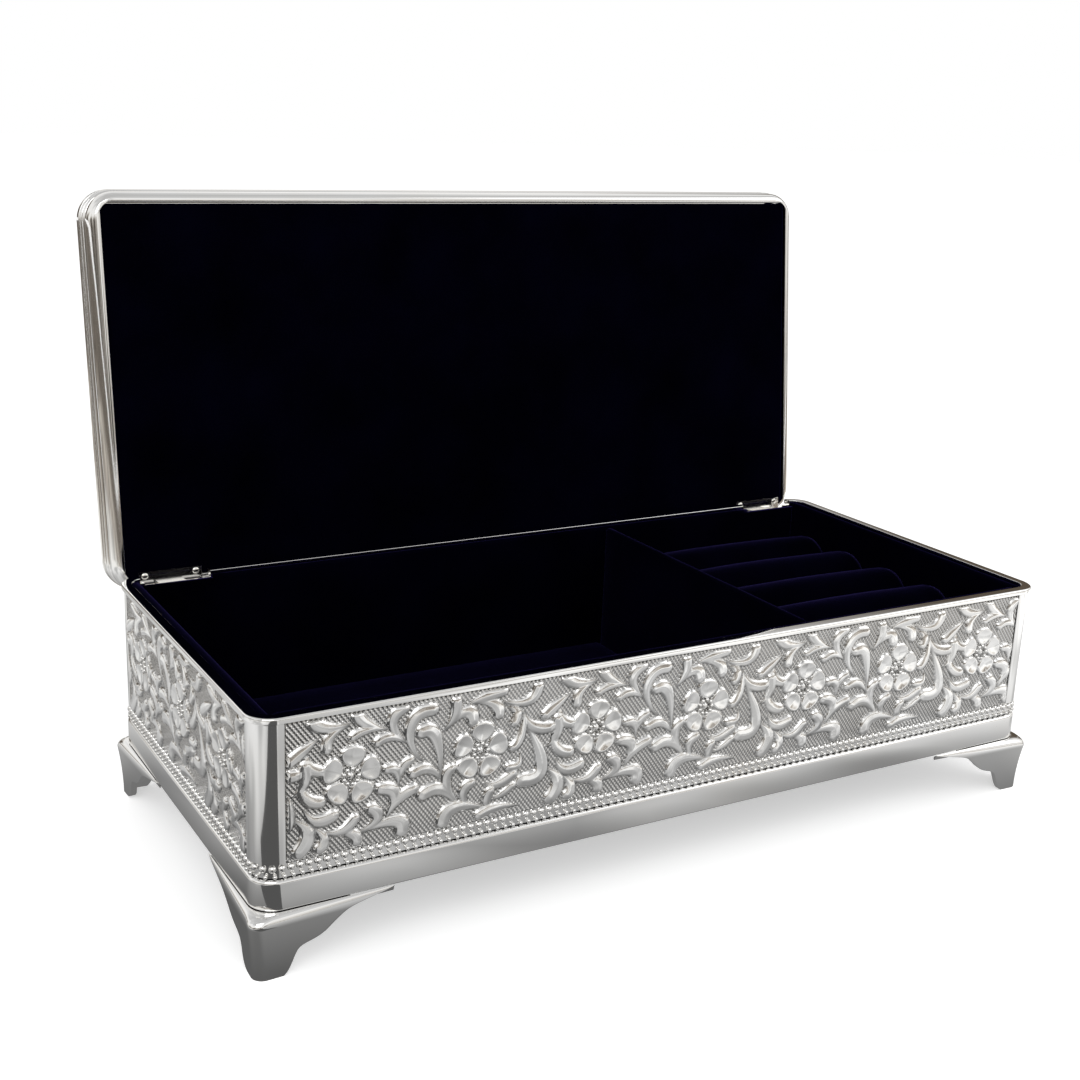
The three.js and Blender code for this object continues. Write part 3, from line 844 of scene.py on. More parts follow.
# One repeat of the scroll, measured from the middle of its first flower.
REPEAT = 68.0
FLOWER_PLACES: tuple[Point, ...] = ((0, 0), (34.4, 0))
LEAVES: tuple[Leaf, ...] = (
    leaf((9.3, 10.1), (3.0, 12.2), (1.4, 15.4), 1.1),
    leaf((9.3, 10.1), (4.0, 11.9), (0.4, 9.9), 0.9),
    leaf((14.0, 5.9), (9.6, 9.4), (6.8, 7.4), 1.0),
    leaf((14.0, 5.9), (7.6, 12.6), (13.6, 15.0), 1.15),
    Leaf((18.8, 0.1), (12.4, 6.5), (15.2, 14.4), (21.2, 13.2), 1.25),
    leaf((23.7, -5.2), (23.6, 9.6), (18.4, 8.0), 1.35),
    leaf((23.8, -5.7), (20.4, -0.4), (16.3, -2.4), 1.15),
    leaf((12.6, -4.0), (12.6, -0.2), (15.3, 1.2), 0.95),
    leaf((12.4, -5.2), (12.7, 0.2), (9.4, 0.0), 1.0),
    leaf((9.3, -13.0), (11.0, -8.2), (16.2, -6.6), 1.15),
    leaf((9.0, -13.0), (14.2, -5.6), (7.9, -4.8), 1.25),
    leaf((1.9, -15.2), (9.8, -12.8), (5.3, -9.4), 1.15),
    leaf((3.0, -15.4), (14.8, -12.0), (13.3, -17.0), 1.45),
    leaf((28.8, -14.1), (24.2, -5.6), (18.9, -8.6), 1.35),
    leaf((28.8, -14.1), (22.9, -5.8), (26.4, -3.2), 1.1),
    leaf((31.4, -14.6), (28.2, -9.6), (31.9, -8.2), 1.1),
    leaf((36.6, -16.0), (25.0, -11.4), (24.4, -17.2), 1.45),
    leaf((37.7, -16.6), (35.6, -14.4), (37.3, -11.4), 1.0),
    leaf((45.4, -17.2), (38.6, -15.6), (34.4, -17.4), 1.1),
    leaf((24.5, 7.5), (28.3, 10.4), (27.6, 14.2), 1.05),
    leaf((24.8, 7.0), (31.6, 14.2), (32.2, 8.6), 1.25),
    leaf((30.8, 12.7), (35.4, 14.4), (40.4, 14.8), 1.1),
    leaf((32.4, 12.7), (39.3, 13.3), (39.4, 8.9), 1.15),
    leaf((40.3, 12.0), (49.2, 8.6), (50.4, 14.2), 1.15),
    leaf((41.9, 10.1), (46.0, 9.2), (43.8, 5.8), 1.0),
    leaf((46.6, 8.5), (46.8, 1.0), (43.7, -0.8), 1.05),
    leaf((46.6, 7.5), (48.8, 2.4), (54.0, 2.8), 1.2),
    Leaf((47.2, 4.8), (51.4, -2.0), (56.2, -12.4), (46.4, -10.4), 1.5),
    leaf((45.8, -3.0), (46.2, -7.0), (42.6, -6.0), 1.0),
    leaf((35.8, -9.2), (39.2, -11.4), (43.8, -8.0), 1.1),
    leaf((38.2, -14.2), (42.0, -12.8), (43.6, -11.2), 0.9),
    leaf((53.4, -2.6), (57.6, -0.6), (56.4, 4.6), 1.1),
    leaf((53.4, -8.6), (59.8, -12.4), (55.0, -17.0), 1.5),
    leaf((67.8, 13.3), (61.4, 12.2), (58.5, 15.2), 1.15),
    leaf((67.5, 12.7), (61.4, 12.0), (61.9, 7.9), 1.05),
    leaf((59.8, 10.6), (56.2, 8.8), (52.8, 6.4), 1.15),
    leaf((56.8, 8.5), (56.2, 3.6), (60.2, 2.7), 1.05),
    leaf((55.2, 2.7), (54.8, -4.6), (60.2, -5.2), 1.15),
    leaf((56.2, -6.7), (58.5, -11.7), (63.4, -9.3), 1.25),
    leaf((58.6, -11.6), (62.6, -15.2), (60.0, -17.2), 1.2),
    leaf((61.0, -13.0), (66.0, -15.6), (69.0, -11.2), 1.05),
    leaf((63.6, -14.1), (69.6, -14.2), (69.4, -17.2), 1.15),
)


@dataclass(frozen=True)
class ScrollWork:
    """The raised flowers and leaves. Heights and places are in millimetres on the sheet."""

    relief: float = 1.0
    fullness: float = 1.62
    shoulder: float = 0.34
    flat_share: float = 0.62
    petals: int = 5
    petal_reach: float = 7.9
    petal_start: float = 2.0
    petal_half_width: float = 3.45
    petal_flare: float = 0.34
    petal_turn: float = math.radians(12)
    petal_root: float = 0.5
    petal_dish: float = 0.36
    dish_power: float = 1.5
    fold_depth: float = 0.05
    fold_width: float = 0.5
    boss_radius: float = 1.3
    boss_height: float = 0.7
    boss_shoulder: float = 0.8
    pearls: int = 9
    pearl_ring: float = 1.95
    pearl_radius: float = 0.55
    pearl_height: float = 0.55
    leaf_samples: int = 14
    leaf_margin: float = 2.0
    stalk_share: float = 0.16
    stalk_height: float = 0.5
    swell_turn: float = 1.9
    swell_rise: Point = (0.3, 0.8)
    edge_margin: float = 0.5

    @staticmethod
    def smooth(share: np.ndarray) -> np.ndarray:
        """Turn shares into ones that ease in and out between 0 and 1."""
        share = np.clip(share, 0, 1)
        return share * share * (3 - 2 * share)

    def leaf_height(self, u: np.ndarray, v: np.ndarray, shape: Leaf) -> np.ndarray:
        """Return how high one leaf stands at each point.

        Args:
            u: Places along the sheet.
            v: Places up the sheet.
            shape: The leaf.

        Returns:
            Heights, zero outside the leaf.
        """
        t = np.linspace(0, 1, self.leaf_samples + 1)
        line_u, line_v = curve((shape.stalk, shape.bend, shape.turn, shape.tip), t)
        best = np.full(u.shape, np.inf)
        height = np.zeros(u.shape)
        for k in range(self.leaf_samples):
            du, dv = line_u[k + 1] - line_u[k], line_v[k + 1] - line_v[k]
            along = ((u - line_u[k]) * du + (v - line_v[k]) * dv) / (du * du + dv * dv)
            along = np.clip(along, 0, 1)
            away = np.hypot(u - line_u[k] - along * du, v - line_v[k] - along * dv)
            share = t[k] + along * (t[k + 1] - t[k])
            swell = self.stalk_share + (1 - self.stalk_share) * np.sin(share * self.swell_turn)
            across = away / (self.fullness * shape.half_width * np.clip(swell, self.stalk_share, 1))
            rise = self.relief * (self.stalk_height + (1 - self.stalk_height) * share)
            rise = rise * np.clip(self.swell_rise[0] + self.swell_rise[1] * swell, 0, 1)
            dome = self.flat_share * self.smooth((1 - across) / self.shoulder)
            dome += (1 - self.flat_share) * np.clip(1 - across, 0, 1)
            closer = across < best
            best = np.where(closer, across, best)
            height = np.where(closer, rise * dome, height)
        return height

    def flower_height(self, u: np.ndarray, v: np.ndarray) -> np.ndarray:
        """Return how high a flower about the origin stands at each point.

        Args:
            u: Places along the sheet.
            v: Places up the sheet.

        Returns:
            Heights, zero outside the flower.
        """
        radius = np.hypot(u, v)
        boss = self.smooth((1 - radius / self.boss_radius) / self.boss_shoulder)
        height = self.boss_height * self.relief * boss
        middle = (self.petal_reach + self.petal_start) / 2
        half_length = (self.petal_reach - self.petal_start) / 2
        for k in range(self.petals):
            angle = self.petal_turn + k * 2 * math.pi / self.petals
            out = u * math.cos(angle) + v * math.sin(angle)
            side = v * math.cos(angle) - u * math.sin(angle)
            width = self.petal_half_width + self.petal_flare * (out - middle)
            q = ((out - middle) / half_length) ** 2 + (side / np.clip(width, 1, None)) ** 2
            edge = self.smooth((1 - q) / self.shoulder)
            slope = self.petal_root + (1 - self.petal_root) * np.clip(out / self.petal_reach, 0, 1)
            fold = self.fold_depth * np.exp(-(side / self.fold_width) ** 2)
            dish = self.petal_dish * np.clip(1 - q, 0, 1) ** self.dish_power
            height = np.maximum(height, edge * (self.relief * slope - dish - fold))
        return height

    def pattern(self, u: np.ndarray, v: np.ndarray, rows: Sequence[Point]) -> np.ndarray:
        """Return the height of the whole pattern over a sheet.

        Args:
            u: Places along the sheet.
            v: Places up the sheet.
            rows: For each row of flowers, where its first flower is.

        Returns:
            Heights above the ground.
        """
        total = np.zeros(u.shape)
        for first, level in rows:
            for shift in np.arange(first, u.max() + REPEAT, REPEAT):
                for piece in LEAVES:
                    self.press(total, u - shift, v - level, piece)
                for place in FLOWER_PLACES:
                    from_u, from_v = u - shift - place[0], v - level - place[1]
                    near = np.hypot(from_u, from_v) < self.petal_reach + self.leaf_margin
                    total[near] = np.maximum(total[near], self.flower_height(from_u[near], from_v[near]))
        return total

    def press(self, total: np.ndarray, u: np.ndarray, v: np.ndarray, piece: Leaf) -> None:
        """Raise one leaf into the heights.

        Args:
            total: Heights so far, which are raised.
            u: Places along the repeat.
            v: Places up the repeat.
            piece: The leaf.
        """
        knots = np.array((piece.stalk, piece.bend, piece.turn, piece.tip))
        low = knots.min(axis=0) - self.leaf_margin
        high = knots.max(axis=0) + self.leaf_margin
        near = (u > low[0]) & (u < high[0]) & (v > low[1]) & (v < high[1])
        if near.any():
            total[near] = np.maximum(total[near], self.leaf_height(u[near], v[near], piece))

    def flower_centres(self, half_u: float, half_v: float, rows: Sequence[Point]) -> list[Point]:
        """Return the middles of the flowers that lie on a sheet.

        Args:
            half_u: Half the sheet's length.
            half_v: Half its height.
            rows: For each row of flowers, where its first flower is.

        Returns:
            Places on the sheet.
        """
        centres = []
        for first, level in rows:
            for shift in np.arange(first, half_u + REPEAT, REPEAT):
                centres.extend((float(shift + u), level + v) for u, v in FLOWER_PLACES)
        return [(u, v) for u, v in centres if abs(u) < half_u and abs(v) < half_v]


@dataclass
class EmbossedSheet:
    """A flat or crowned sheet with the scroll pressed up in it."""

    half_u: float
    half_v: float
    thickness: float
    rows: tuple[Point, ...]
    cell: float
    corner: float = 0.0
    crown: float = 0.0
    windows: tuple[Window, ...] = ()
    ground_level: float = 0.03 * MM
    crease_start: float = 0.005 * MM
    crease_level: float = 0.16 * MM
    crease_width: float = 0.13 * MM
    work: ScrollWork = field(default_factory=ScrollWork)

    def round_off(self, u: np.ndarray, v: np.ndarray) -> tuple[np.ndarray, np.ndarray]:
        """Draw the points of an oblong grid in to round corners.

        Args:
            u: Places along the sheet.
            v: Places up the sheet.

        Returns:
            The new places.
        """
        if not self.corner:
            return u, v
        side_u = np.abs(u) - (self.half_u - self.corner)
        side_v = np.abs(v) - (self.half_v - self.corner)
        inside = (side_u > 0) & (side_v > 0)
        reach = np.maximum(side_u, side_v)
        with np.errstate(divide="ignore", invalid="ignore"):
            low = side_v / side_u * math.pi / 4
            high = QUARTER_TURN - side_u / side_v * math.pi / 4
        angle = np.where(side_u >= side_v, low, high)
        round_u = self.half_u - self.corner + reach * np.cos(angle)
        round_v = self.half_v - self.corner + reach * np.sin(angle)
        u = np.where(inside, np.sign(u) * round_u, u)
        v = np.where(inside, np.sign(v) * round_v, v)
        return u, v

    def build(self, name: str, material: Material, place: Matrix) -> Object:
        """Build the sheet, closed by its back.

        Args:
            name: Name of the piece.
            material: Its finish.
            place: Matrix from the sheet to its place.

        Returns:
            The new object.
        """
        bm = bmesh.new()
        cells_u = round(2 * self.half_u / self.cell)
        cells_v = round(2 * self.half_v / self.cell)
        scale = Matrix.Diagonal((self.half_u, self.half_v, 1, 1))
        bmesh.ops.create_grid(bm, x_segments=cells_u, y_segments=cells_v, size=1, matrix=scale)
        for window in self.windows:
            open_faces = [face for face in bm.faces if self.within(face.calc_center_median(), window)]
            bmesh.ops.delete(bm, geom=open_faces, context="FACES")
        rim = [edge for edge in bm.edges if edge.is_boundary]
        skirt = bmesh.ops.extrude_edge_only(bm, edges=rim)["geom"]
        back = [item for item in skirt if isinstance(item, BMVert)]
        bmesh.ops.translate(bm, verts=back, vec=(0, 0, -self.thickness))
        bmesh.ops.contextual_create(bm, geom=[edge for edge in bm.edges if edge.is_boundary])
        piece = finish_solid(bm, name, material)
        self.raise_pattern(piece.data)
        self.add_pearls(piece.data)
        piece.data.transform(place)
        return piece

    @staticmethod
    def within(point: Vector, window: Window) -> bool:
        """Tell whether a point lies in a window of the sheet."""
        return window[0] < point.x < window[2] and window[1] < point.y < window[3]

    def raise_pattern(self, mesh: Mesh) -> None:
        """Move the sheet's points up to the pattern, and mark its ground.

        Args:
            mesh: The flat sheet, which is changed.
        """
        flat = np.empty(len(mesh.vertices) * 3)
        mesh.vertices.foreach_get("co", flat)
        flat = flat.reshape(-1, 3)
        u, v = self.round_off(flat[:, 0], flat[:, 1])
        face = flat[:, 2] > -self.thickness / 2
        relief = self.work.pattern(u / MM, v / MM, self.rows) * MM
        edge_u = np.clip((self.half_u - np.abs(u)) / (self.work.edge_margin * MM), 0, 1)
        edge_v = np.clip((self.half_v - np.abs(v)) / (self.work.edge_margin * MM), 0, 1)
        relief *= edge_u * edge_v
        flat[:, 0], flat[:, 1] = u, v
        flat[:, 2] += np.where(face, relief, 0) + self.bulge(u, v)
        mesh.vertices.foreach_set("co", flat.ravel())
        # The crease marks the feet of the raised work, where the finish paints shade and tarnish.
        low_edge = np.exp(-((relief - self.crease_level) / self.crease_width) ** 2)
        for name, values in (("ground", np.where(relief > self.ground_level, 0.0, 1.0)),
                             ("crease", np.where(relief > self.crease_start, low_edge, 0.0))):
            mesh.attributes.new(name, "FLOAT", "POINT").data.foreach_set("value", values)
        corners = np.empty(len(mesh.loops), dtype=np.int32)
        mesh.loops.foreach_get("vertex_index", corners)
        sheet = mesh.uv_layers.new(name="sheet")
        sheet.data.foreach_set("uv", (flat[corners, :2] / MM).ravel())

    def bulge(self, u: np.ndarray | float, v: np.ndarray | float) -> np.ndarray | float:
        """Return how far the crown of the sheet stands up at a place."""
        return self.crown * (1 - (u / self.half_u) ** 2) * (1 - (v / self.half_v) ** 2)

    def add_pearls(self, mesh: Mesh) -> None:
        """Set a ring of small pearls round the middle of each flower.

        Args:
            mesh: The raised sheet, which is changed.
        """
        work = self.work
        spots = []
        for u, v in work.flower_centres(self.half_u / MM, self.half_v / MM, self.rows):
            base = self.bulge(u * MM, v * MM) + work.pearl_height * work.relief * MM
            for k in range(work.pearls):
                angle = k * 2 * math.pi / work.pearls
                x = (u + work.pearl_ring * math.cos(angle)) * MM
                y = (v + work.pearl_ring * math.sin(angle)) * MM
                spots.append(Vector((x, y, base)))
        add_balls(mesh, spots, work.pearl_radius * MM)


# Padded and wrapped boards.


@dataclass(frozen=True)
class Board:
    """An upright or flat board wrapped in velvet over thin wadding."""

    low: Vector
    high: Vector
    edge: float
    swell: float = 0.25 * MM
    ripple: float = 0.08 * MM
    ripple_rate: float = 90.0
    pillow_power: float = 0.3
    cell: float = 6 * MM
    edge_cuts: tuple[float, ...] = (0.08, 0.3, 0.62, 1.0)
    widest_edge: float = 0.98

    def cuts(self, low: float, high: float) -> list[float]:
        """Return where the board is divided along one direction, closer at its round edges.

        Args:
            low: Its lower face in that direction.
            high: Its upper face.

        Returns:
            Places of the cuts.
        """
        edge = min(self.edge, (high - low) / 2 * self.widest_edge)
        ends = [edge * share for share in self.edge_cuts]
        count = max(1, round((high - low - 2 * edge) / self.cell))
        middle = [low + edge + (high - low - 2 * edge) * k / count for k in range(1, count)]
        return [low + end for end in ends] + middle + [high - end for end in ends]

    def build(self, bm: BMesh) -> None:
        """Add the board to a mesh.

        Args:
            bm: Mesh to add to.
        """
        size = self.high - self.low
        middle = (self.high + self.low) / 2
        place = Matrix.Translation(middle) @ Matrix.Diagonal((*size, 1))
        bmesh.ops.create_cube(bm, size=1, matrix=place)
        for axis in range(3):
            normal = Vector((axis == 0, axis == 1, axis == 2))
            for cut in self.cuts(self.low[axis], self.high[axis]):
                point = middle.copy()
                point[axis] = cut
                geometry = bm.verts[:] + bm.edges[:] + bm.faces[:]
                bmesh.ops.bisect_plane(bm, geom=geometry, plane_co=point, plane_no=normal)
        for vert in bm.verts:
            vert.co = self.softened(vert.co, middle, size)

    def softened(self, point: Vector, middle: Vector, size: Vector) -> Vector:
        """Move a point of the sharp board to its soft face.

        Args:
            point: The point.
            middle: Middle of the board.
            size: Its size in each direction.

        Returns:
            Its new place.
        """
        inner = Vector()
        for axis in range(3):
            edge = min(self.edge, size[axis] / 2)
            inner[axis] = min(max(point[axis], self.low[axis] + edge), self.high[axis] - edge)
        out = point - inner
        reach = max(abs(value) for value in out)
        if reach == 0:
            return point
        outward = out.normalized()
        shares = [1 - (2 * (point[k] - middle[k]) / size[k]) ** 2 for k in range(3)]
        thin = min(range(3), key=lambda k: size[k])
        spread = math.prod(max(shares[k], 0) for k in range(3) if k != thin)
        pillow = -self.swell * (1 - spread ** self.pillow_power) * abs(outward[thin])
        wave = self.ripple * noise.noise(point * self.ripple_rate)
        return inner + outward * (reach + pillow + wave - self.ripple)


def wrapped_board(name: str, board: Board, palette: Palette, turn: Matrix | None = None) -> Object:
    """Build one velvet board.

    Args:
        name: Name of the piece.
        board: Its size and softness.
        palette: The finishes.
        turn: Matrix that takes it to its place, if it is drawn elsewhere.

    Returns:
        The new object.
    """
    bm = bmesh.new()
    board.build(bm)
    if turn is not None:
        bmesh.ops.transform(bm, matrix=turn, verts=bm.verts)
    return finish_solid(bm, name, palette.velvet, sharp=math.pi)


# The case.


@dataclass
class CaseWalls:
    """The rolled rim, the corner posts, the embossed panels and the beaded border."""

    palette: Palette
    plan: Plan
    rim_height: float = 1.9 * MM
    rim_outer_round: float = 0.5 * MM
    rim_inner_round: float = 0.15 * MM
    rim_undercut: float = 0.5 * MM
    post_inset: float = 0.75 * MM
    post_width: float = 8 * MM
    post_edge: float = 0.25 * MM
    wall_outer: float = 1.95 * MM
    wall_inner: float = 2.95 * MM
    notch_depth: float = 1 * MM
    notch_drop: float = 2 * MM
    notch_over: float = 5 * MM
    panel_cell: float = 0.3 * MM
    flower_level: float = 1.7
    first_flower: dict[str, float] = field(default_factory=lambda: {
        "front_panel": -100.8, "rear_panel": -100.8, "left_panel": -33.4, "right_panel": -33.4,
    })
    bead_radius: float = 0.98 * MM
    bead_pitch: float = 2.25 * MM
    pearl_radius: float = 0.55 * MM
    strip_inset: float = 1.35 * MM
    strip_seat: float = 0.3 * MM
    bead_angle: float = math.radians(60)

    def build(self) -> None:
        """Build and hand over every piece of the walls."""
        self.build_shell()
        for side in Side:
            self.build_panel(side)
        self.build_border()

    def build_shell(self) -> None:
        """Build the rim, the inner wall and the four posts as one piece."""
        low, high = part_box("case_shell")
        top = high.z
        under = top - self.rim_height
        section = [(self.wall_inner, low.z), (self.wall_outer, low.z), (self.wall_outer, under)]
        section += [(self.post_inset, under), (0, under + self.rim_undercut)]
        outer, inner = self.rim_outer_round, self.rim_inner_round
        section += arc((outer, top - outer), outer, 2, 1)
        section += arc((self.wall_inner - inner, top - inner), inner, 1, 0)
        rim = finish_solid(self.plan.sweep(stations(section)), "case_rim", self.palette.plate)
        cut_away(rim, [self.notch(name) for name in HINGE_SIDES])
        bm = bmesh.new()
        bm.from_mesh(rim.data)
        bpy.data.objects.remove(rim)
        for quarter in range(4):
            self.add_post(bm, quarter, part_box("front_panel")[0].z, under)
        shell = finish_solid(bm, "case_rim_and_posts", self.palette.plate)
        hand_over(shell, Body.CASE, ["case_shell"])

    def notch(self, side: str, margin: float = 0.3 * MM) -> tuple[Vector, Vector]:
        """Return the room that a hinge takes out of the rear wall.

        Args:
            side: Which hinge.
            margin: Room round its pin.

        Returns:
            The notch's lowest and highest corner.
        """
        pin_low, pin_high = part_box("hinge_pin_" + side)
        rear = self.plan.centre_y + self.plan.half_y
        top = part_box("case_shell")[1].z
        low = (pin_low.x - margin, rear - self.wall_inner - self.notch_depth, pin_low.z - self.notch_drop)
        high = (pin_high.x + margin, rear + self.notch_over, top + self.notch_over)
        return Vector(low), Vector(high)

    def add_post(self, bm: BMesh, quarter: int, bottom: float, top: float) -> None:
        """Add one corner post.

        Args:
            bm: Mesh to add to.
            quarter: Corner number.
            bottom: Height of its foot.
            top: Height of its head.
        """
        loops = []
        for inset in (self.post_inset, self.wall_outer):
            corner = self.plan.drawn_in(inset).corner(quarter)
            wings = self.plan.drawn_in(inset, self.post_width - inset).corner(quarter)
            loops.append([wings[0], *corner, wings[-1]])
        head = add_prism(bm, loops[0] + loops[1][::-1], bottom, top)
        ends = [Vector(loops[0][0]), Vector(loops[0][-1])]
        corners = [vert for vert in head if any((vert.co.xy - end).length < MM / 100 for end in ends)]
        upright = [edge for edge in edges_at(corners)
                   if abs(edge.verts[0].co.z - edge.verts[1].co.z) > MM]
        bmesh.ops.bevel(bm, geom=upright, offset=self.post_edge, offset_type="OFFSET", segments=BEVEL_STEPS,
                        profile=0.5, affect="EDGES", material=-1)

    def build_panel(self, side: Side) -> None:
        """Build one embossed panel in the place of its flat one.

        Args:
            side: Which wall it closes.
        """
        name = side.name.lower() + "_panel"
        low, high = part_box(name)
        outward = Vector(side.value[0])
        thin = 1 if outward.y else 0
        middle = (low + high) / 2
        middle[thin] = high[thin] if outward[thin] > 0 else low[thin]
        windows = [self.notch(hinge) for hinge in HINGE_SIDES] if side is Side.REAR else []
        sheet = EmbossedSheet(
            half_u=(high - low)[1 - thin] / 2, half_v=(high - low).z / 2, thickness=(high - low)[thin],
            rows=((self.first_flower[name] - REPEAT, self.flower_level),), cell=self.panel_cell,
            windows=tuple((-b.x, a.z - middle.z, -a.x, b.z - middle.z) for a, b in windows),
        )
        panel = sheet.build("embossed_" + name, self.palette.embossed, side.basis(middle))
        hand_over(panel, Body.CASE, [name])

    def build_border(self) -> None:
        """Build the two rows of beads on their strip."""
        low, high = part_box("beaded_border")
        back, front = self.wall_outer - self.strip_seat, self.strip_inset
        count = round(self.length_round(self.strip_inset) / self.bead_pitch)
        border = bpy.data.meshes.new("bead_rows")
        for radius, height, phase in ((self.bead_radius, high.z - self.bead_radius, 0),
                                      (self.pearl_radius, low.z + self.pearl_radius, 0.5)):
            add_balls(border, self.bead_spots(radius + self.strip_seat, height, count, phase), radius)
        strip = [(back, low.z), (front, low.z), (front, high.z), (back, high.z)]
        bm = self.plan.sweep(stations(strip))
        bmesh.ops.recalc_face_normals(bm, faces=bm.faces[:])
        bm.from_mesh(border)
        piece = finish_mesh(bm, "bead_rows", self.palette.beads, sharp=self.bead_angle)
        hand_over(piece, Body.CASE, ["beaded_border"])

    def length_round(self, inset: float) -> float:
        """Return the distance once round the outline at an inset."""
        straight = 4 * (self.plan.half_x + self.plan.half_y - 2 * self.plan.radius)
        return straight + 2 * math.pi * (self.plan.radius - inset)

    def bead_spots(self, inset: float, height: float, count: int, phase: float) -> list[Vector]:
        """Return the middles of one row of beads, evenly spaced round the case.

        Args:
            inset: How far inside the outline their middles lie.
            height: Height of their middles.
            count: How many there are.
            phase: Where the first one is, as a share of the spacing.

        Returns:
            Their middles.
        """
        points = self.plan.outline(inset)
        x, y = np.transpose(points + points[:1])
        walked = np.concatenate(([0], np.cumsum(np.hypot(np.diff(x), np.diff(y)))))
        stops = (np.arange(count) + phase) * walked[-1] / count
        places = zip(np.interp(stops, walked, x), np.interp(stops, walked, y))
        return [Vector((along, across, height)) for along, across in places]


@dataclass
class Base:
    """The plain band, the plate under it, the bracket feet and their screws."""

    palette: Palette
    plan: Plan
    band_inset: float = 0.4 * MM
    band_thickness: float = 1.2 * MM
    band_top_round: float = 1.0 * MM
    band_bottom_round: float = 0.4 * MM
    flange_thickness: float = 1.5 * MM
    flange_width: float = 12 * MM
    flange_radius: float = 4 * MM
    plate_edge: float = 0.4 * MM
    screw_head: float = 2.6 * MM
    screw_rise: float = 1.1 * MM
    screw_drop: float = 2.3 * MM
    shank_radius: float = 1.3 * MM
    shank_length: float = 3.6 * MM
    head_sides: int = 24
    shank_sides: int = 16
    under_share: float = 0.8
    head_insets: tuple[Point, Point] = ((0.2, 0.15 * MM), (0.3, -0.5 * MM))
    screw_shares: tuple[Point, Point] = ((0.3, 0.62), (0.62, 0.3))
    screw_reach: float = 23.8 * MM

    def build(self) -> None:
        """Build and hand over every piece of the base."""
        self.build_band()
        self.build_plate()
        for name, x, y in (("front_left", -1, -1), ("front_right", 1, -1),
                           ("rear_right", 1, 1), ("rear_left", -1, 1)):
            Foot(self.palette, "foot_" + name, x, y).build()
        self.build_screws()

    def build_band(self) -> None:
        """Build the band with the flange that carries the plate."""
        low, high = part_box("base_band")
        inner = self.band_inset + self.band_thickness
        floor = low.z + self.flange_thickness
        round_in = self.band_inset + self.band_bottom_round
        section = stations(
            [(round_in, low.z)]
            + arc((round_in, low.z + self.band_bottom_round), self.band_bottom_round, 3, 2)[1:]
            + arc((self.band_inset + self.band_top_round, high.z - self.band_top_round),
                  self.band_top_round, 2, 1)
            + [(inner, high.z), (inner, floor)]
        )
        section += [Station(self.flange_width, height, self.flange_radius) for height in (floor, low.z)]
        band = finish_solid(self.plan.sweep(section), "plain_band", self.palette.plate)
        hand_over(band, Body.CASE, ["base_band"])

    def build_plate(self) -> None:
        """Build the cloth-covered plate that closes the bottom."""
        low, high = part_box("base_plate")
        inset = self.plan.half_x - high.x
        edge = self.plate_edge
        rings = [(inset + edge, low.z), (inset, low.z + edge)]
        rings += [(inset, high.z - edge), (inset + edge, high.z)]
        bm = loft([self.plan.loop(station) for station in stations(rings)])
        plate = finish_solid(bm, "covered_base_plate", self.palette.base_cloth)
        hand_over(plate, Body.CASE, ["base_plate"])

    def build_screws(self) -> None:
        """Build the eight screws that hold the feet up to the flange."""
        corner_x = self.plan.half_x - self.band_inset
        corner_y = self.plan.half_y - self.band_inset
        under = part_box("base_band")[0].z - self.screw_drop
        bm = bmesh.new()
        for x in (-1, 1):
            for y in (-1, 1):
                for share_x, share_y in self.screw_shares:
                    spot = Vector((x * (corner_x - share_x * self.screw_reach),
                                   self.plan.centre_y + y * (corner_y - share_y * self.screw_reach), under))
                    self.add_screw(bm, spot)
        hand_over(finish_solid(bm, "foot_screws", self.palette.hinge), Body.CASE)

    def add_screw(self, bm: BMesh, spot: Vector) -> None:
        """Add one slotted screw, its head hanging below a spot.

        Args:
            bm: Mesh to add to.
            spot: Where its shank enters the foot.
        """
        head = Matrix.Translation(spot - Vector((0, 0, self.screw_rise / 2)))
        made = bmesh.ops.create_cone(bm, cap_ends=True, segments=self.head_sides, depth=self.screw_rise,
                                     radius1=self.screw_head * self.under_share, radius2=self.screw_head,
                                     matrix=head)
        lowest = min(vert.co.z for vert in made["verts"])
        face = next(face for vert in made["verts"] for face in vert.link_faces
                    if all(abs(corner.co.z - lowest) < MM / 100 for corner in face.verts))
        for share, depth in self.head_insets:
            bmesh.ops.inset_region(bm, faces=[face], thickness=self.screw_head * share, depth=depth)
        shank = Matrix.Translation(spot + Vector((0, 0, self.shank_length / 2)))
        bmesh.ops.create_cone(bm, cap_ends=True, segments=self.shank_sides, radius1=self.shank_radius,
                              radius2=self.shank_radius, depth=self.shank_length, matrix=shank)


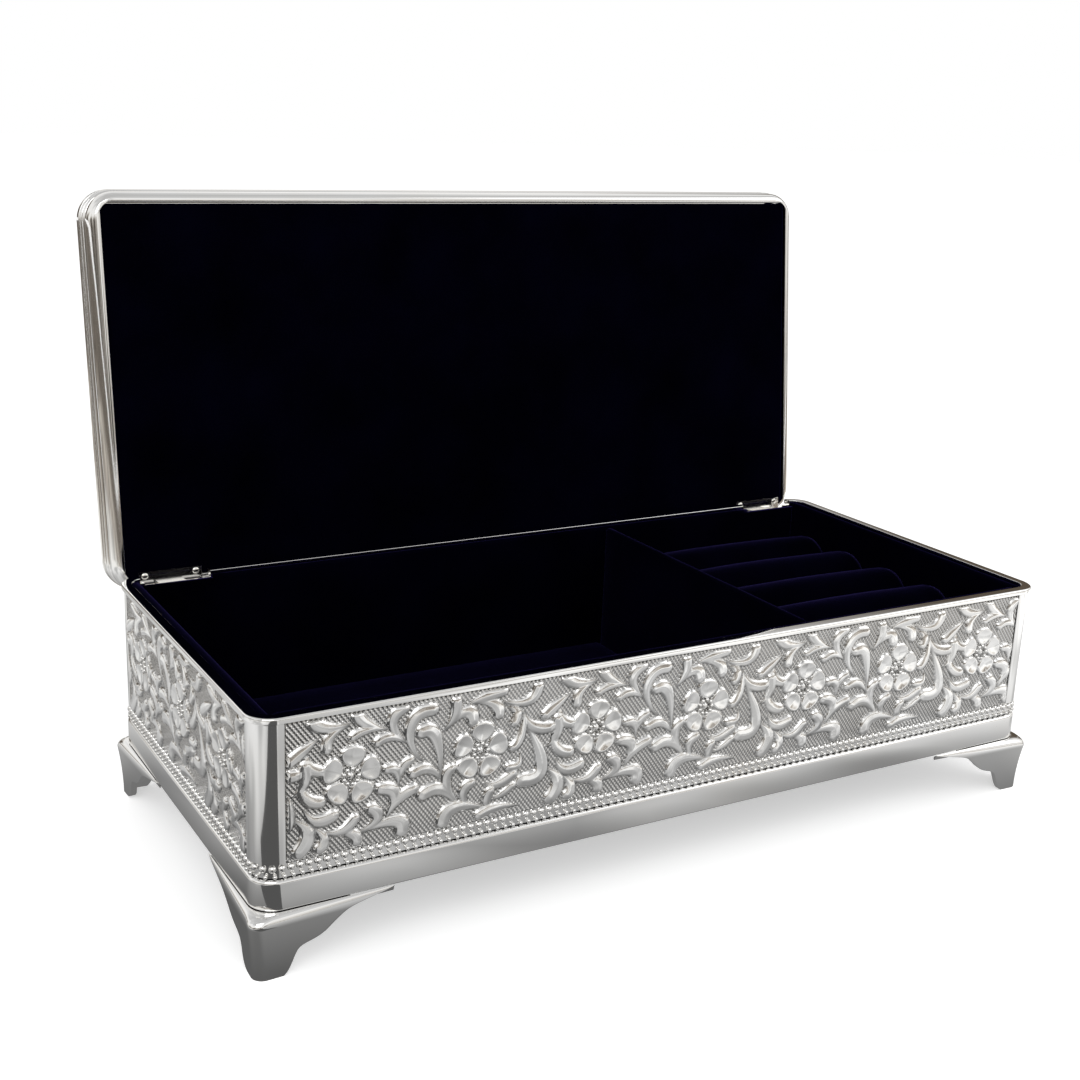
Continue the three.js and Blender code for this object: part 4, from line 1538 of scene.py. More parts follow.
@dataclass
class Foot:
    """A cast bracket foot: a mitred skin with a scalloped lower edge, over a screw plate."""

    palette: Palette
    name: str
    side_x: int
    side_y: int
    leg: float = 35.4 * MM
    wall: float = 1.8 * MM
    front_toe: float = 6.2 * MM
    end_toe: float = 7.8 * MM
    end_toe_round: float = 3 * MM
    toe_proud: float = 1.0 * MM
    knee_proud: float = 2.1 * MM
    draft: float = 1.75 * MM
    cap_proud: float = 0.1 * MM
    knee_height: float = 14.3 * MM
    band_bottom: float = 16.9 * MM
    top: float = 16.85 * MM
    corner_radius: float = 3 * MM
    band_radius: float = 6.6 * MM
    plate_top: float = 16.6 * MM
    plate_thickness: float = 2 * MM
    plate_reach: float = 23.8 * MM
    plate_inset: float = 0.1 * MM
    plate_arm: float = 2.88 * MM
    rows: int = 40
    cap_rows: int = 9
    columns: int = 24
    corner_columns: int = 12
    edge_round: float = 0.6 * MM
    edge_angle: float = math.radians(50)
    smooth_angle: float = math.radians(30)
    curve_steps: int = 12
    scoop_shares: tuple[tuple[Point, Point, Point], ...] = (
        ((0.245, 0.1), (0.25, 0.38), (0.31, 0.42)),
        ((0.36, 0.47), (0.44, 0.46), (0.52, 0.63)),
        ((0.62, 0.81), (0.64, 0.83), (0.69, 0.86)),
        ((0.8, 0.91), (0.9, 0.94), (1.0, 1.0)),
    )

    def reach(self, toe: float, toe_round: float) -> tuple[np.ndarray, np.ndarray]:
        """Return how far a leg reaches at each height.

        Args:
            toe: Its length on the floor.
            toe_round: Radius of the toe's lower end.

        Returns:
            Heights, and the reach at each.
        """
        start = (toe, 0.0)
        lengths, heights = [start[0]], [start[1]]
        shares = np.linspace(0, 1, self.curve_steps + 1)[1:]
        for bends in self.scoop_shares:
            knots = [start] + [(along * self.leg, up * self.band_bottom) for along, up in bends]
            along, up = curve(knots, shares)
            lengths.extend(along)
            heights.extend(up)
            start = knots[-1]
        levels = np.linspace(0, self.band_bottom, 4 * self.rows)
        lengths = np.interp(levels, heights, lengths)
        below = np.clip(toe_round - levels, 0, None)
        return levels, lengths - toe_round + np.sqrt(toe_round ** 2 - below ** 2)

    def levels(self) -> list[tuple[float, float, float, float]]:
        """Lay out the rows of the skin.

        Returns:
            For each row its height, how proud its corner is, the corner's radius and its share of the draft.
        """
        rows = []
        for k in range(self.rows + 1):
            share = (k / self.rows) ** 2
            proud = self.toe_proud + (self.knee_proud - self.toe_proud) * share
            rows.append((self.knee_height * k / self.rows, proud, self.corner_radius, 1.0))
        for k in range(1, self.cap_rows + 1):
            angle = QUARTER_TURN * k / self.cap_rows
            height = self.knee_height + (self.top - self.knee_height) * math.sin(angle)
            proud = self.cap_proud + (self.knee_proud - self.cap_proud) * math.cos(angle)
            radius = self.corner_radius + (self.band_radius - self.corner_radius) * (1 - math.cos(angle))
            rows.append((height, proud, radius, math.cos(angle)))
        return rows

    def skin_point(self, column: int, proud: float, radius: float, hold: float, ends: Point) -> Point:
        """Return a point of one row of the skin, in plan, with the band's corner at the origin.

        Args:
            column: Its column, counted from the end of the leg along Y.
            proud: How far the row stands past the band at the corner.
            radius: Radius of the row's corner.
            hold: How much of the draft towards the legs' ends this row has.
            ends: How far the leg along Y and the leg along X reach at this height.

        Returns:
            The point in plan.
        """
        centre = radius - proud
        from_corner = column - self.columns
        if 0 <= from_corner <= self.corner_columns:
            angle = QUARTER_TURN * from_corner / self.corner_columns
            return centre - radius * math.cos(angle), centre - radius * math.sin(angle)
        on_x = from_corner > 0
        steps = from_corner - self.corner_columns if on_x else -from_corner
        share = steps / self.columns
        along = centre + (ends[on_x] - centre) * share
        out = proud - self.draft * hold * (along - centre) / self.leg
        return (along, -out) if on_x else (-out, along)

    def build(self) -> None:
        """Build and hand over the foot."""
        bm = bmesh.new()
        self.add_skin(bm)
        self.add_plate(bm)
        low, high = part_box(self.name)
        corner_x = (high.x if self.side_x > 0 else low.x) - self.side_x * self.knee_proud
        corner_y = (high.y if self.side_y > 0 else low.y) - self.side_y * self.knee_proud
        mirror = Matrix.Diagonal((-self.side_x, -self.side_y, 1, 1))
        mirror = Matrix.Translation((corner_x, corner_y, 0)) @ mirror
        bmesh.ops.transform(bm, matrix=mirror, verts=bm.verts)
        for vert in bm.verts:
            vert.co.z = max(vert.co.z, low.z)
        foot = finish_solid(bm, "bracket_" + self.name, self.palette.plate, sharp=self.smooth_angle)
        hand_over(foot, Body.CASE, [self.name])

    def add_skin(self, bm: BMesh) -> None:
        """Add the skin, drawn with the band's corner at the origin and its legs along X and Y.

        Args:
            bm: Mesh to add to.
        """
        levels = self.levels()
        last = 2 * self.columns + self.corner_columns
        bmesh.ops.create_grid(bm, x_segments=last, y_segments=len(levels) - 1, size=1)
        front = self.reach(self.front_toe, 0)
        end = self.reach(self.end_toe, self.end_toe_round)
        rows = []
        for height, proud, radius, hold in levels:
            ends = (float(np.interp(height, *end)), float(np.interp(height, *front)))
            rows.append([self.skin_point(column, proud, radius, hold, ends) for column in range(last + 1)])
        for vert in bm.verts:
            row = round((vert.co.y + 1) / 2 * (len(levels) - 1))
            column = round((vert.co.x + 1) / 2 * last)
            vert.co = (*rows[row][column], levels[row][0])
        bmesh.ops.recalc_face_normals(bm, faces=bm.faces[:])
        if sum(face.normal.y for face in bm.faces) > 0:
            bmesh.ops.reverse_faces(bm, faces=bm.faces[:])
        bmesh.ops.solidify(bm, geom=bm.faces[:], thickness=self.wall)
        sharp = [edge for edge in bm.edges if edge.is_manifold and edge.calc_face_angle() > self.edge_angle]
        bmesh.ops.bevel(bm, geom=sharp, offset=self.edge_round, offset_type="OFFSET", segments=BEVEL_STEPS,
                        profile=0.5, affect="EDGES", clamp_overlap=True, material=-1)

    def add_plate(self, bm: BMesh) -> None:
        """Add the plate that takes the screws.

        Args:
            bm: Mesh to add to.
        """
        inner, arm, reach = self.plate_inset, self.plate_arm, self.plate_reach
        outline = [(inner, inner), (reach, inner), (reach, arm), (arm, reach), (inner, reach)]
        add_prism(bm, outline, self.plate_top - self.plate_thickness, self.plate_top)


# Linings of the case.


@dataclass
class CaseLining:
    """Velvet boards on the walls, the divider, the floor pad and the ring rolls."""

    palette: Palette
    liner_edge: float = 1.2 * MM
    pad_edge: float = 1.4 * MM
    pad_swell: float = 0.6 * MM
    pad_cell: float = 5 * MM
    flange_reach: float = 2.9 * MM
    flange_room: float = 1.6 * MM
    hinge_gap: float = 0.3 * MM
    recess_over: float = 20 * MM
    liner_fill: float = 0.85
    pad_fill: float = 0.75
    firm_fill: float = 0.9
    rolls: int = 5
    roll_section: int = 40
    roll_stations: int = 18
    roll_foot_round: float = 2.5 * MM
    roll_end_round: float = 1.6 * MM
    roll_crown: float = 0.8 * MM
    roll_ripple: float = 0.12 * MM
    ripple_rate: float = 70.0

    def build(self) -> None:
        """Build and hand over every lining of the case."""
        for name in ("front_liner", "rear_liner", "left_liner", "right_liner", "divider"):
            liner = wrapped_board("velvet_" + name, Board(*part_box(name), edge=self.liner_edge), self.palette)
            if name == "rear_liner":
                for rooms in zip(*(self.recess(side) for side in HINGE_SIDES)):
                    cut_away(liner, rooms)
            hand_over(liner, Body.CASE, [name])
        pad = Board(*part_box("floor_pad"), edge=self.pad_edge, swell=self.pad_swell, cell=self.pad_cell)
        bed = Board(*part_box("ring_bed"), edge=self.pad_edge)
        for name, board, fill in (("floor_pad", pad, self.pad_fill), ("ring_bed", bed, self.firm_fill)):
            piece = wrapped_board("velvet_" + name, board, self.palette)
            hand_over(piece, Body.CASE, [name])
        for number in range(1, self.rolls + 1):
            self.build_roll(f"ring_roll_{number}")

    def recess(self, side: str) -> list[tuple[Vector, Vector]]:
        """Return the room that a hinge takes out of the rear board.

        Args:
            side: Which hinge.

        Returns:
            Lowest and highest corner of the room behind its lower leaf and of the room under its flange.
        """
        leaf_low, leaf_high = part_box("hinge_case_leaf_" + side)
        pin_low, pin_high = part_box("hinge_pin_" + side)
        gap = self.hinge_gap
        high = Vector((pin_high.x + gap, leaf_high.y + self.recess_over, leaf_high.z + self.recess_over))
        behind = Vector((pin_low.x - gap, leaf_low.y - gap, leaf_low.z - gap))
        flange_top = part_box("case_shell")[1].z
        under = Vector((pin_low.x - gap, leaf_low.y - self.flange_reach, flange_top - self.flange_room))
        return [(behind, high), (under, high)]

    def build_roll(self, name: str) -> None:
        """Build one foam roll under velvet: a round crown over upright sides.

        Args:
            name: CAD node that it stands for.
        """
        low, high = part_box(name)
        centre = (low + high) / 2
        half = (high.y - low.y) / 2
        loops = []
        for k in range(self.roll_stations + 1):
            share = 0.5 - 0.5 * math.cos(math.pi * k / self.roll_stations)
            x = low.x + (high.x - low.x) * share
            from_end = min(x - low.x, high.x - x)
            lost = max(0.0, 1 - from_end / self.roll_end_round)
            shrink = self.roll_end_round * (1 - math.sqrt(max(0.0, 1 - lost * lost)))
            top = high.z - self.roll_crown + self.roll_crown * (1 - (2 * share - 1) ** 2)
            section = self.section(low.z + shrink, top - shrink, half - shrink)
            loops.append([(x, centre.y + y, z) for y, z in section])
        bm = loft(loops)
        for vert in bm.verts:
            vert.co += self.roll_ripple * noise.noise_vector(vert.co * self.ripple_rate)
        roll = finish_solid(bm, "velvet_" + name, self.palette.velvet, sharp=math.pi)
        hand_over(roll, Body.CASE, [name])

    def section(self, low: float, high: float, width: float) -> list[Point]:
        """Return one section of a roll, about its middle.

        Args:
            low: Height of its underside.
            high: Height of its crown.
            width: Half its width.

        Returns:
            Points across and up, once round.
        """
        spring = high - width
        round_foot = min(self.roll_foot_round, width)
        points = []
        for k in range(self.roll_section):
            angle = 2 * math.pi * (k + 0.5) / self.roll_section
            cosine, sine = math.cos(angle), math.sin(angle)
            if sine > 0:
                points.append((width * cosine, spring + width * sine))
                continue
            flat = max(abs(cosine), abs(sine))
            up = spring + min(0.0, max(sine / flat, -1.0)) * (spring - low)
            y, z = self.round_foot(cosine / flat * width, up - low, width, round_foot)
            points.append((y, low + z))
        return points

    @staticmethod
    def round_foot(y: float, z: float, width: float, radius: float) -> Point:
        """Move a point of a roll's square foot to its round one.

        Args:
            y: Its place across.
            z: Its height above the underside.
            width: Half the foot's width.
            radius: Radius of the foot's corners.

        Returns:
            Its new place.
        """
        inner_y = max(-(width - radius), min(width - radius, y))
        inner_z = max(z, radius)
        out = Vector((y - inner_y, z - inner_z))
        if out.length == 0 or inner_z > radius:
            return y, z
        out = out.normalized() * min(radius, max(abs(out.x), abs(out.y)))
        return inner_y + out.x, inner_z + out.y


# The lid.


@dataclass
class Lid:
    """The lid, drawn shut and then turned open about its hinge line."""

    palette: Palette
    plan: Plan
    joint: dict[str, object]
    gap: float = 0.3 * MM
    lip_inset: float = 4 * MM
    lip_flat: float = 0.8 * MM
    lip_round: float = 0.25 * MM
    mouth_radius: float = 1.8 * MM
    ovolo_inset: float = 0.8 * MM
    ovolo_height: float = 4.5 * MM
    ovolo_steps: int = 12
    quirk: float = 0.4 * MM
    wall_inset: float = 1.6 * MM
    wall_height: float = 9 * MM
    ledge_inset: float = 7.4 * MM
    ledge_bottom: float = 4.9 * MM
    ledge_thickness: float = 1 * MM
    bead_radius: float = 1.05 * MM
    thread_radius: float = 0.6 * MM
    bead_inset: float = 0.35 * MM
    thread_inset: float = 0.3 * MM
    bead_steps: int = 10
    thread_steps: int = 8
    top_edge: float = 1.6 * MM
    top_round: float = 2.3 * MM
    top_steps: int = 10
    top_border: float = 4.6 * MM
    top_seat: float = 3 * MM
    top_lip: float = 0.4 * MM
    top_thickness: float = 1 * MM
    top_crown: float = 0.45 * MM
    top_drop: float = 0.72 * MM
    top_cell: float = 0.56 * MM
    top_rows: tuple[Point, ...] = ((-168.8, -36.4), (-202.8, 1.2), (-168.8, 38.0))
    lining_drop: float = 0.3 * MM
    lining_thickness: float = 2.6 * MM
    lining_edge: float = 1 * MM
    lining_swell: float = 0.3 * MM
    lining_cell: float = 5 * MM
    lining_fill: float = 0.85
    board_thickness: float = 1.4 * MM

    @property
    def lip(self) -> float:
        """Height of the lip when the lid is shut."""
        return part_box("case_shell")[1].z + self.gap

    @property
    def opening(self) -> Matrix:
        """Matrix that turns the shut lid to where it stands at rest.

        Returns:
            The matrix.
        """
        hinge = Vector(self.joint["pos_m"])
        open_angle = math.radians(max(self.joint["range_deg"]))
        turn = Matrix.Rotation(-open_angle, 4, "X")
        return Matrix.Translation(hinge) @ turn @ Matrix.Translation(-hinge)

    def build(self) -> None:
        """Build and hand over every piece of the lid."""
        self.build_frame()
        self.build_reeds()
        self.build_top()
        self.build_board()
        self.build_lining()

    def turned(self, bm: BMesh, name: str, material: Material) -> Object:
        """Open a piece that was drawn shut, and finish it.

        Args:
            bm: The piece's mesh.
            name: Its name.
            material: Its finish.

        Returns:
            The new object.
        """
        bmesh.ops.transform(bm, matrix=self.opening, verts=bm.verts)
        return finish_solid(bm, name, material)

    def build_frame(self) -> None:
        """Build the flat lip, the ovolo, the wall and the ledge inside."""
        ledge_top = self.ledge_bottom + self.ledge_thickness
        flat = self.lip_inset - self.lip_flat
        outer = arc((flat, self.ovolo_height), (flat - self.ovolo_inset, self.ovolo_height), 3, 2,
                    self.ovolo_steps)
        mouth = self.lip_inset - self.lip_round
        section = [Station(self.lip_inset, self.lip + self.ledge_bottom, self.mouth_radius)]
        section += [Station(mouth + x, self.lip + z, self.mouth_radius + self.lip_round - x)
                    for x, z in arc((0, self.lip_round), self.lip_round, 0, -1, BEVEL_STEPS)]
        section += stations(outer, self.lip)
        section += stations([
            (self.wall_inset, self.ovolo_height + self.quirk),
            (self.wall_inset, self.wall_height),
            (self.lip_inset, self.wall_height),
            (self.lip_inset, ledge_top),
            (self.ledge_inset, ledge_top),
            (self.ledge_inset, self.ledge_bottom),
        ], self.lip)
        piece = self.turned(self.plan.sweep(section), "lid_lip_and_wall", self.palette.plate)
        hand_over(piece, Body.LID, ["lid_frame"])

    def build_reeds(self) -> None:
        """Build the bead and the thread that run round the lid's side."""
        back = self.wall_inset - self.gap
        bottom = self.ovolo_height + self.quirk + self.gap
        bead = bottom + self.bead_radius
        thread = bead + self.bead_radius + 2 * self.thread_radius
        section = [(back, bottom)]
        section += arc((self.bead_inset + self.bead_radius, bead), self.bead_radius, 3, 1, self.bead_steps)
        section += arc((self.thread_inset + self.thread_radius, thread), self.thread_radius, 3, 1,
                       self.thread_steps)
        section.append((back, thread + self.thread_radius))
        bm = self.plan.sweep(stations(section, self.lip))
        piece = self.turned(bm, "lid_bead_and_thread", self.palette.plate)
        hand_over(piece, Body.LID, ["lid_bead_moulding"])

    def build_top(self) -> None:
        """Build the rolled edge of the top and the embossed field inside it."""
        bottom = self.wall_height + self.gap
        edge = bottom + self.top_edge
        top = edge + self.top_round
        border, lip = self.top_border, self.top_lip
        section = [(border, bottom + self.top_thickness), (self.top_seat, bottom), (0, bottom)]
        section += arc((self.top_round, edge), self.top_round, 2, 1, self.top_steps)
        section += [(border - lip, top), (border, top - lip)]
        bm = self.plan.sweep(stations(section, self.lip))
        rolled = self.turned(bm, "lid_top_edge", self.palette.plate)
        hand_over(rolled, Body.LID)
        inner = self.plan.drawn_in(border)
        sheet = EmbossedSheet(
            half_u=inner.half_x, half_v=inner.half_y, thickness=self.top_thickness, rows=self.top_rows,
            cell=self.top_cell, corner=inner.radius, crown=self.top_crown,
        )
        place = self.opening @ Matrix.Translation((0, self.plan.centre_y, self.lip + top - self.top_drop))
        piece = sheet.build("lid_embossed_top", self.palette.embossed, place)
        hand_over(piece, Body.LID, ["lid_top_plate"])

    def build_board(self) -> None:
        """Build the card board behind the lining."""
        inset = self.lip_inset + self.gap
        low = self.lip + self.lining_drop + self.lining_thickness + self.gap
        inner = self.plan.drawn_in(inset, self.mouth_radius)
        bm = loft([inner.loop(Station(0, low + rise)) for rise in (0, self.board_thickness)])
        piece = self.turned(bm, "lid_card_board", self.palette.card)
        hand_over(piece, Body.LID, ["lid_board"])

    def build_lining(self) -> None:
        """Build the velvet lining, wrapped over its edges."""
        inset = self.lip_inset + self.gap
        half_x, half_y = self.plan.half_x - inset, self.plan.half_y - inset
        low = Vector((-half_x, self.plan.centre_y - half_y, self.lip + self.lining_drop))
        high = Vector((half_x, self.plan.centre_y + half_y, low.z + self.lining_thickness))
        board = Board(low, high, edge=self.lining_edge, swell=self.lining_swell, cell=self.lining_cell)
        piece = wrapped_board("velvet_lid_lining", board, self.palette, self.opening)
        hand_over(piece, Body.LID, ["lid_lining"])


@dataclass
class Hinges:
    """The two hinges, whose leaves and pins are carried over, and the rivets of their flanges."""

    palette: Palette
    opening: Matrix
    rivet_radius: float = 1.0 * MM
    rivet_rise: float = 0.2 * MM
    rivet_inset: float = 1.9 * MM
    rivet_back: float = 1.3 * MM
    rivet_sides: int = 16
    rivet_rings: int = 10
    flange_thickness: float = 0.8 * MM

    def build(self) -> None:
        """Dress the hinges."""
        for side in HINGE_SIDES:
            for part in ("hinge_case_leaf_", "hinge_pin_", "hinge_lid_leaf_"):
                node = frame["nodes"][part + side]
                node.data.materials.clear()
                node.data.materials.append(self.palette.hinge)
                LOG.info("%s: carried over", part + side)
        self.build_rivets()

    def build_rivets(self) -> None:
        """Build the domed rivets that hold the flanges to the lid's lip, drawn shut and then opened."""
        shut = self.opening.inverted()
        squash = Matrix.Diagonal((1, 1, self.rivet_rise / self.rivet_radius, 1))
        bm = bmesh.new()
        for side in HINGE_SIDES:
            corners = [shut @ vert.co for vert in frame["nodes"]["hinge_lid_leaf_" + side].data.vertices]
            left, right = min(corner.x for corner in corners), max(corner.x for corner in corners)
            inner = min(corner.y for corner in corners)
            under = max(corner.z for corner in corners) - self.flange_thickness
            for x in (left + self.rivet_inset, right - self.rivet_inset):
                place = Matrix.Translation((x, inner + self.rivet_back, under)) @ squash
                bmesh.ops.create_uvsphere(bm, u_segments=self.rivet_sides, v_segments=self.rivet_rings,
                                          radius=self.rivet_radius, matrix=place)
        bmesh.ops.transform(bm, matrix=self.opening, verts=bm.verts)
        hand_over(finish_solid(bm, "hinge_rivets", self.palette.hinge), Body.LID)


# The studio.


@dataclass(frozen=True)
class Softbox:
    """A square soft lamp."""

    name: str
    place: Place
    size: float
    watts: float
    target: Place = (0, 0, 0.05)

    def hang(self) -> None:
        """Hang the lamp."""
        data = bpy.data.lights.new(self.name, "AREA")
        data.size = self.size
        data.energy = self.watts
        lamp = bpy.data.objects.new(self.name, data)
        lamp.location = self.place
        aim = Vector(self.target) - Vector(self.place)
        lamp.rotation_euler = aim.to_track_quat("-Z", "Y").to_euler()
        bpy.context.scene.collection.objects.link(lamp)


@dataclass
class Studio:
    """Floor, world, lamps, reflector cards and camera."""

    lens: float = 50.6
    sensor: float = 36.0
    nearest: float = 0.01
    eye: Place = (-229.84 * MM, -374.94 * MM, 202.27 * MM)
    roll: float = math.radians(2.193)
    pitch: float = math.radians(16.132)
    heading: float = math.radians(30.374)
    floor_size: float = 12.0
    floor_shade: float = 0.82
    floor_lift: float = 0.5
    world_shade: float = 0.7
    card_radius: float = 3.0
    card_sides: int = 64
    tone_reach: float = 0.9
    card_lift: float = 0.05 * MM
    # Tones of the card by distance from the box; the darkest, next to the box, are a painted shadow of the box
    # on the floor.
    card_tones: tuple[Colour, ...] = (
        (0.0, 0.14, 0.14, 0.14),
        (0.02, 0.28, 0.28, 0.28),
        (0.05, 0.47, 0.47, 0.47),
        (0.1, 0.66, 0.66, 0.658),
        (0.2, 0.84, 0.84, 0.835),
        (0.36, 0.88, 0.86, 0.82),
        (0.48, 0.24, 0.2, 0.165),
        (0.6, 0.66, 0.62, 0.56),
        (0.8, 0.22, 0.19, 0.16),
        (1.0, 0.16, 0.14, 0.12),
    )
    card_reach: Point = (-0.1, 0.45)
    card_lights: Point = (1.0, 1.5)
    flag_near: Place = (-190 * MM, -112 * MM, -88 * MM)
    flag_far: Place = (-290 * MM, -112 * MM, -900 * MM)
    flag_tone: float = 0.09
    card_patch_scale: float = 9.0
    card_patch_span: Point = (0.42, 0.56)
    card_patch_lights: Point = (0.66, 1.1)
    patch_scale: float = 3.2
    patch_share: float = 0.8
    height_share: float = 0.9
    tone_drop: float = 0.32
    dark_corners: tuple[tuple[Place, Point], ...] = (
        ((0.8, 0.56, 0.22), (0.93, 0.985)),
        ((-0.24, 0.95, 0.12), (0.972, 0.99)),
    )
    dark_tone: Colour = (0.1, 0.08, 0.06, 1)
    room_tones: tuple[Colour, ...] = (
        (0.0, 0.03, 0.025, 0.02),
        (0.1, 0.1, 0.085, 0.07),
        (0.18, 0.5, 0.47, 0.43),
        (0.3, 0.95, 0.94, 0.92),
        (0.5, 0.95, 0.95, 0.95),
        (0.75, 0.6, 0.6, 0.6),
        (1.0, 0.5, 0.5, 0.5),
    )
    lamps: tuple[Softbox, ...] = (
        Softbox("key_softbox", (-0.7, -0.9, 1.1), 0.9, 5),
        Softbox("fill_softbox", (0.9, -0.5, 0.8), 0.8, 2),
    )

    def build(self) -> None:
        """Build the whole studio."""
        self.build_camera()
        self.build_floor()
        self.build_world()
        self.build_cards()
        for lamp in self.lamps:
            lamp.hang()
        bpy.context.scene.view_settings.view_transform = "Standard"

    def build_camera(self) -> None:
        """Place the camera where the photograph was taken from."""
        data = bpy.data.cameras.new("camera")
        data.lens = self.lens
        data.sensor_width = self.sensor
        data.clip_start = self.nearest
        camera = bpy.data.objects.new("camera", data)
        turn = Matrix.Rotation(self.roll, 3, "Y") @ Matrix.Rotation(self.pitch, 3, "X")
        turn = turn @ Matrix.Rotation(self.heading, 3, "Z")
        right, forward, up = turn[0], turn[1], turn[2]
        basis = Matrix((right, up, -forward)).transposed().to_4x4()
        camera.matrix_world = Matrix.Translation(self.eye) @ basis
        bpy.context.scene.collection.objects.link(camera)
        bpy.context.scene.camera = camera

    def build_floor(self) -> None:
        """Lay the pale floor, white to the camera, with the shadow of the box on it."""
        bm = bmesh.new()
        bmesh.ops.create_grid(bm, x_segments=2, y_segments=2, size=self.floor_size / 2)
        material = bpy.data.materials.new("studio_floor")
        nodes = cleared_nodes(material)
        shade = (self.floor_shade, self.floor_shade, self.floor_shade, 1)
        matte = nodes.add("ShaderNodeBsdfDiffuse", Color=shade)
        lift = nodes.math("MULTIPLY", self.seen_directly(nodes), self.floor_lift)
        glow = nodes.add("ShaderNodeEmission", Color=WHITE, Strength=lift)
        both = nodes.add("ShaderNodeAddShader")
        nodes.join(both, 0, matte.outputs[0])
        nodes.join(both, 1, glow.outputs[0])
        nodes.add("ShaderNodeOutputMaterial", Surface=both.outputs[0])
        finish_mesh(bm, "floor", material)

    @staticmethod
    def seen_directly(nodes: Nodes) -> NodeSocket:
        """Tell what is seen from what only lights things.

        Args:
            nodes: Nodes to add to.

        Returns:
            1 for what the camera sees itself, in metal or through glass, and 0 for light on things.
        """
        path = nodes.add("ShaderNodeLightPath")
        seen = nodes.math("MAXIMUM", path.outputs["Is Camera Ray"], path.outputs["Is Glossy Ray"])
        return nodes.math("MAXIMUM", seen, path.outputs["Is Transmission Ray"])

    def build_world(self) -> None:
        """Fill the room with even light, white where it is seen."""
        world = bpy.data.worlds.new("room")
        bpy.context.scene.world = world
        nodes = cleared_nodes(world)
        strength = nodes.between(self.seen_directly(nodes), (self.world_shade, 1.0))
        metal = nodes.add("ShaderNodeLightPath").outputs["Is Glossy Ray"]
        colour = nodes.mix(metal, WHITE, self.room_tone(nodes))
        light = nodes.add("ShaderNodeBackground", Color=colour, Strength=strength)
        nodes.add("ShaderNodeOutputWorld", Surface=light.outputs[0])

    def room_tone(self, nodes: Nodes) -> NodeSocket:
        """Give the room its tone by direction: white overhead, greys and browns low down, and dark corners.

        Args:
            nodes: Nodes to add to.

        Returns:
            The tone.
        """
        way = nodes.add("ShaderNodeTexCoord").outputs["Generated"]
        height = nodes.add("ShaderNodeSeparateXYZ", Vector=way).outputs["Z"]
        patches = nodes.noise(way, self.patch_scale, 1.0)
        level = nodes.total(height, self.height_share, patches, self.patch_share)
        tone = self.tone_ramp(nodes, nodes.math("SUBTRACT", level, self.tone_drop), self.room_tones)
        for direction, span in self.dark_corners:
            facing = nodes.add("ShaderNodeVectorMath", {"operation": "DOT_PRODUCT"})
            nodes.join(facing, 0, way)
            nodes.join(facing, 1, Vector(direction).normalized())
            tone = nodes.mix(nodes.between(facing.outputs["Value"], (0.0, 1.0), span), tone, self.dark_tone)
        return tone

    @staticmethod
    def tone_ramp(nodes: Nodes, value: NodeSocket, tones: Sequence[Colour]) -> NodeSocket:
        """Return a smooth run of colours.

        Args:
            nodes: Nodes to add to.
            value: Where along the run, from 0 to 1.
            tones: Places from 0 to 1 with their colours.

        Returns:
            The colour.
        """
        ramp = nodes.add("ShaderNodeValToRGB", Fac=value)
        ramp.color_ramp.interpolation = "B_SPLINE"
        stops = ramp.color_ramp.elements
        for stop, tone in ((stops[0], tones[0]), (stops[1], tones[-1])):
            stop.position = tone[0]
            stop.color = (*tone[1:], 1)
        for place, *tone in tones[1:-1]:
            stops.new(place).color = (*tone, 1)
        return ramp.outputs["Color"]

    def build_cards(self) -> None:
        """Lay a grey card round the box and a dark flag on it, which only metal reflects. The card carries a
        painted shadow, darkest next to the box, and painted light towards +X.
        """
        bm = bmesh.new()
        bmesh.ops.create_circle(bm, cap_ends=True, segments=self.card_sides, radius=self.card_radius)
        material = bpy.data.materials.new("grey_card")
        nodes = cleared_nodes(material)
        where = nodes.add("ShaderNodeTexCoord").outputs["Object"]
        split = nodes.add("ShaderNodeSeparateXYZ", Vector=where)
        low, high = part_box("case_shell")
        away = []
        for axis in (0, 1):
            off = nodes.math("SUBTRACT", split.outputs[axis], (high + low)[axis] / 2)
            out = nodes.math("SUBTRACT", nodes.math("ABSOLUTE", off), (high - low)[axis] / 2)
            away.append(nodes.math("POWER", nodes.math("MAXIMUM", out, 0.0), 2.0))
        distance = nodes.math("SQRT", nodes.math("ADD", *away))
        # Painted shadow: the card is darkest next to the box and lightens outwards.
        tone = self.tone_ramp(nodes, nodes.math("DIVIDE", distance, self.tone_reach), self.card_tones)
        grain = nodes.noise(where, self.card_patch_scale, 1.0)
        patches = nodes.between(grain, self.card_patch_lights, self.card_patch_span)
        # Painted light: the card glows brighter towards +X.
        lighter = nodes.between(split.outputs["X"], self.card_lights, self.card_reach)
        self.lay_card(bm, material, tone, nodes.math("MULTIPLY", patches, lighter))
        bm = bmesh.new()
        bmesh.ops.create_grid(bm, x_segments=1, y_segments=1, size=1)
        for vert in bm.verts:
            left, right, y = self.flag_near if vert.co.y > 0 else self.flag_far
            vert.co = (right if vert.co.x > 0 else left, y, self.card_lift)
        flag = bpy.data.materials.new("dark_flag")
        cleared_nodes(flag)
        self.lay_card(bm, flag, WHITE, self.flag_tone)

    def lay_card(self, bm: BMesh, material: Material, tone: object, strength: object) -> None:
        """Lay a glowing card just above the floor, seen only in metal.

        Args:
            bm: Its mesh, drawn on what it lies on.
            material: Its material, which it is named after.
            tone: Its colour or socket.
            strength: How brightly it glows, a number or socket.
        """
        nodes = Nodes(material.node_tree)
        glow = nodes.add("ShaderNodeEmission", Color=tone, Strength=strength)
        nodes.add("ShaderNodeOutputMaterial", Surface=glow.outputs[0])
        material.cycles.emission_sampling = "NONE"
        card = finish_mesh(bm, material.name, material)
        card.data.transform(Matrix.Translation((0, 0, self.card_lift)))
        for rays in ("camera", "diffuse", "shadow", "transmission", "volume_scatter"):
            setattr(card, "visible_" + rays, False)


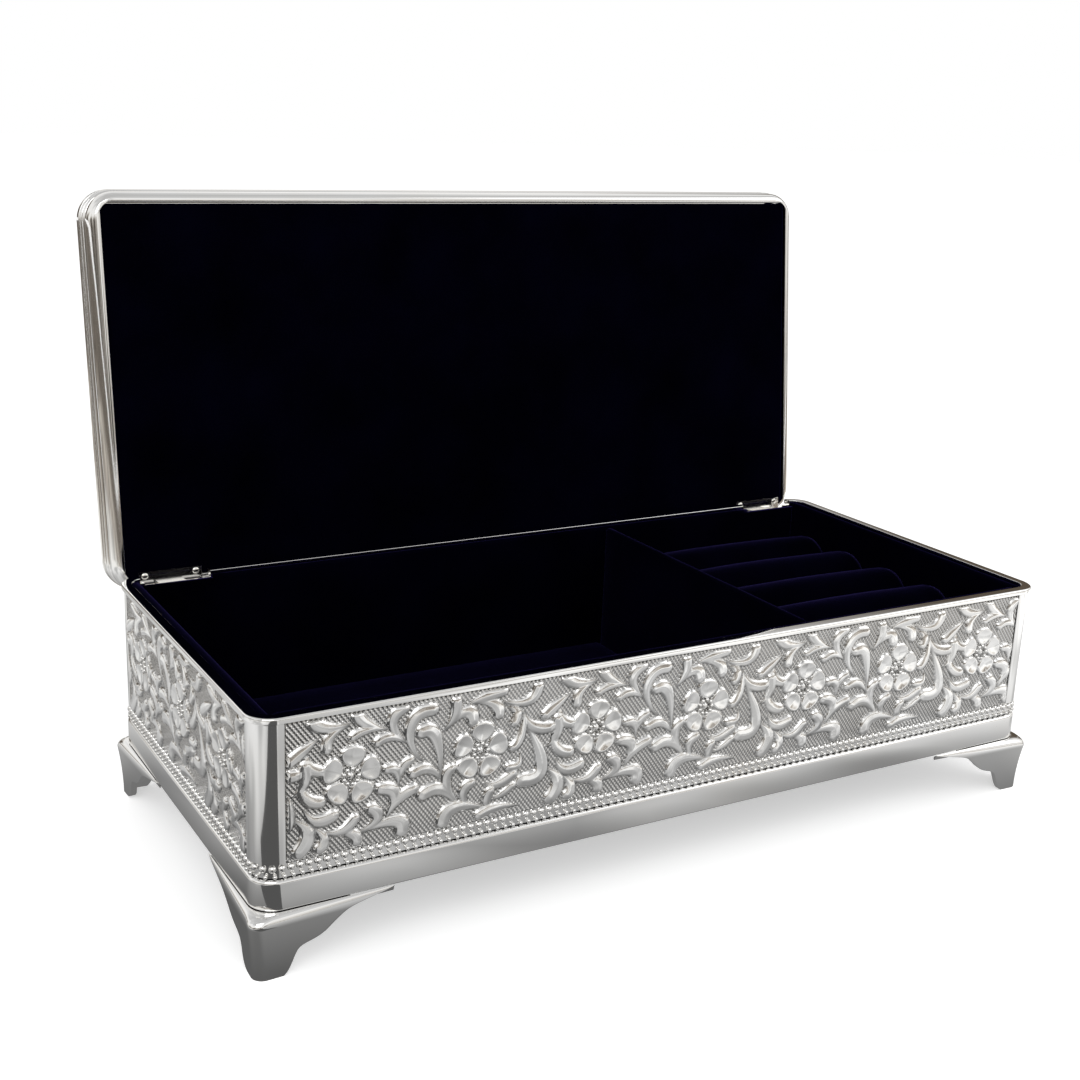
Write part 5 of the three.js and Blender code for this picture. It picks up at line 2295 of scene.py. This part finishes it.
def case_plan(radius: float) -> Plan:
    """Return the outline of the case, read from the frame."""
    low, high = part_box("case_shell")
    return Plan((high.x - low.x) / 2, (high.y - low.y) / 2, (high.y + low.y) / 2, radius)


def main() -> None:
    """Build the box and its studio."""
    logging.basicConfig(level=logging.INFO, format="%(relativeCreated)d ms: %(message)s")
    noise.seed_set(RIPPLE_SEED)
    palette = Palette()
    Studio().build()
    case = case_plan(CASE_CORNER)
    CaseWalls(palette, case).build()
    Base(palette, case).build()
    CaseLining(palette).build()
    lid_joint = next(joint for joint in frame["joints"] if joint["name"] == "lid_hinge")
    lid = Lid(palette, case_plan(LID_CORNER), lid_joint)
    lid.build()
    Hinges(palette, lid.opening).build()


if __name__ == "__main__":
    main()
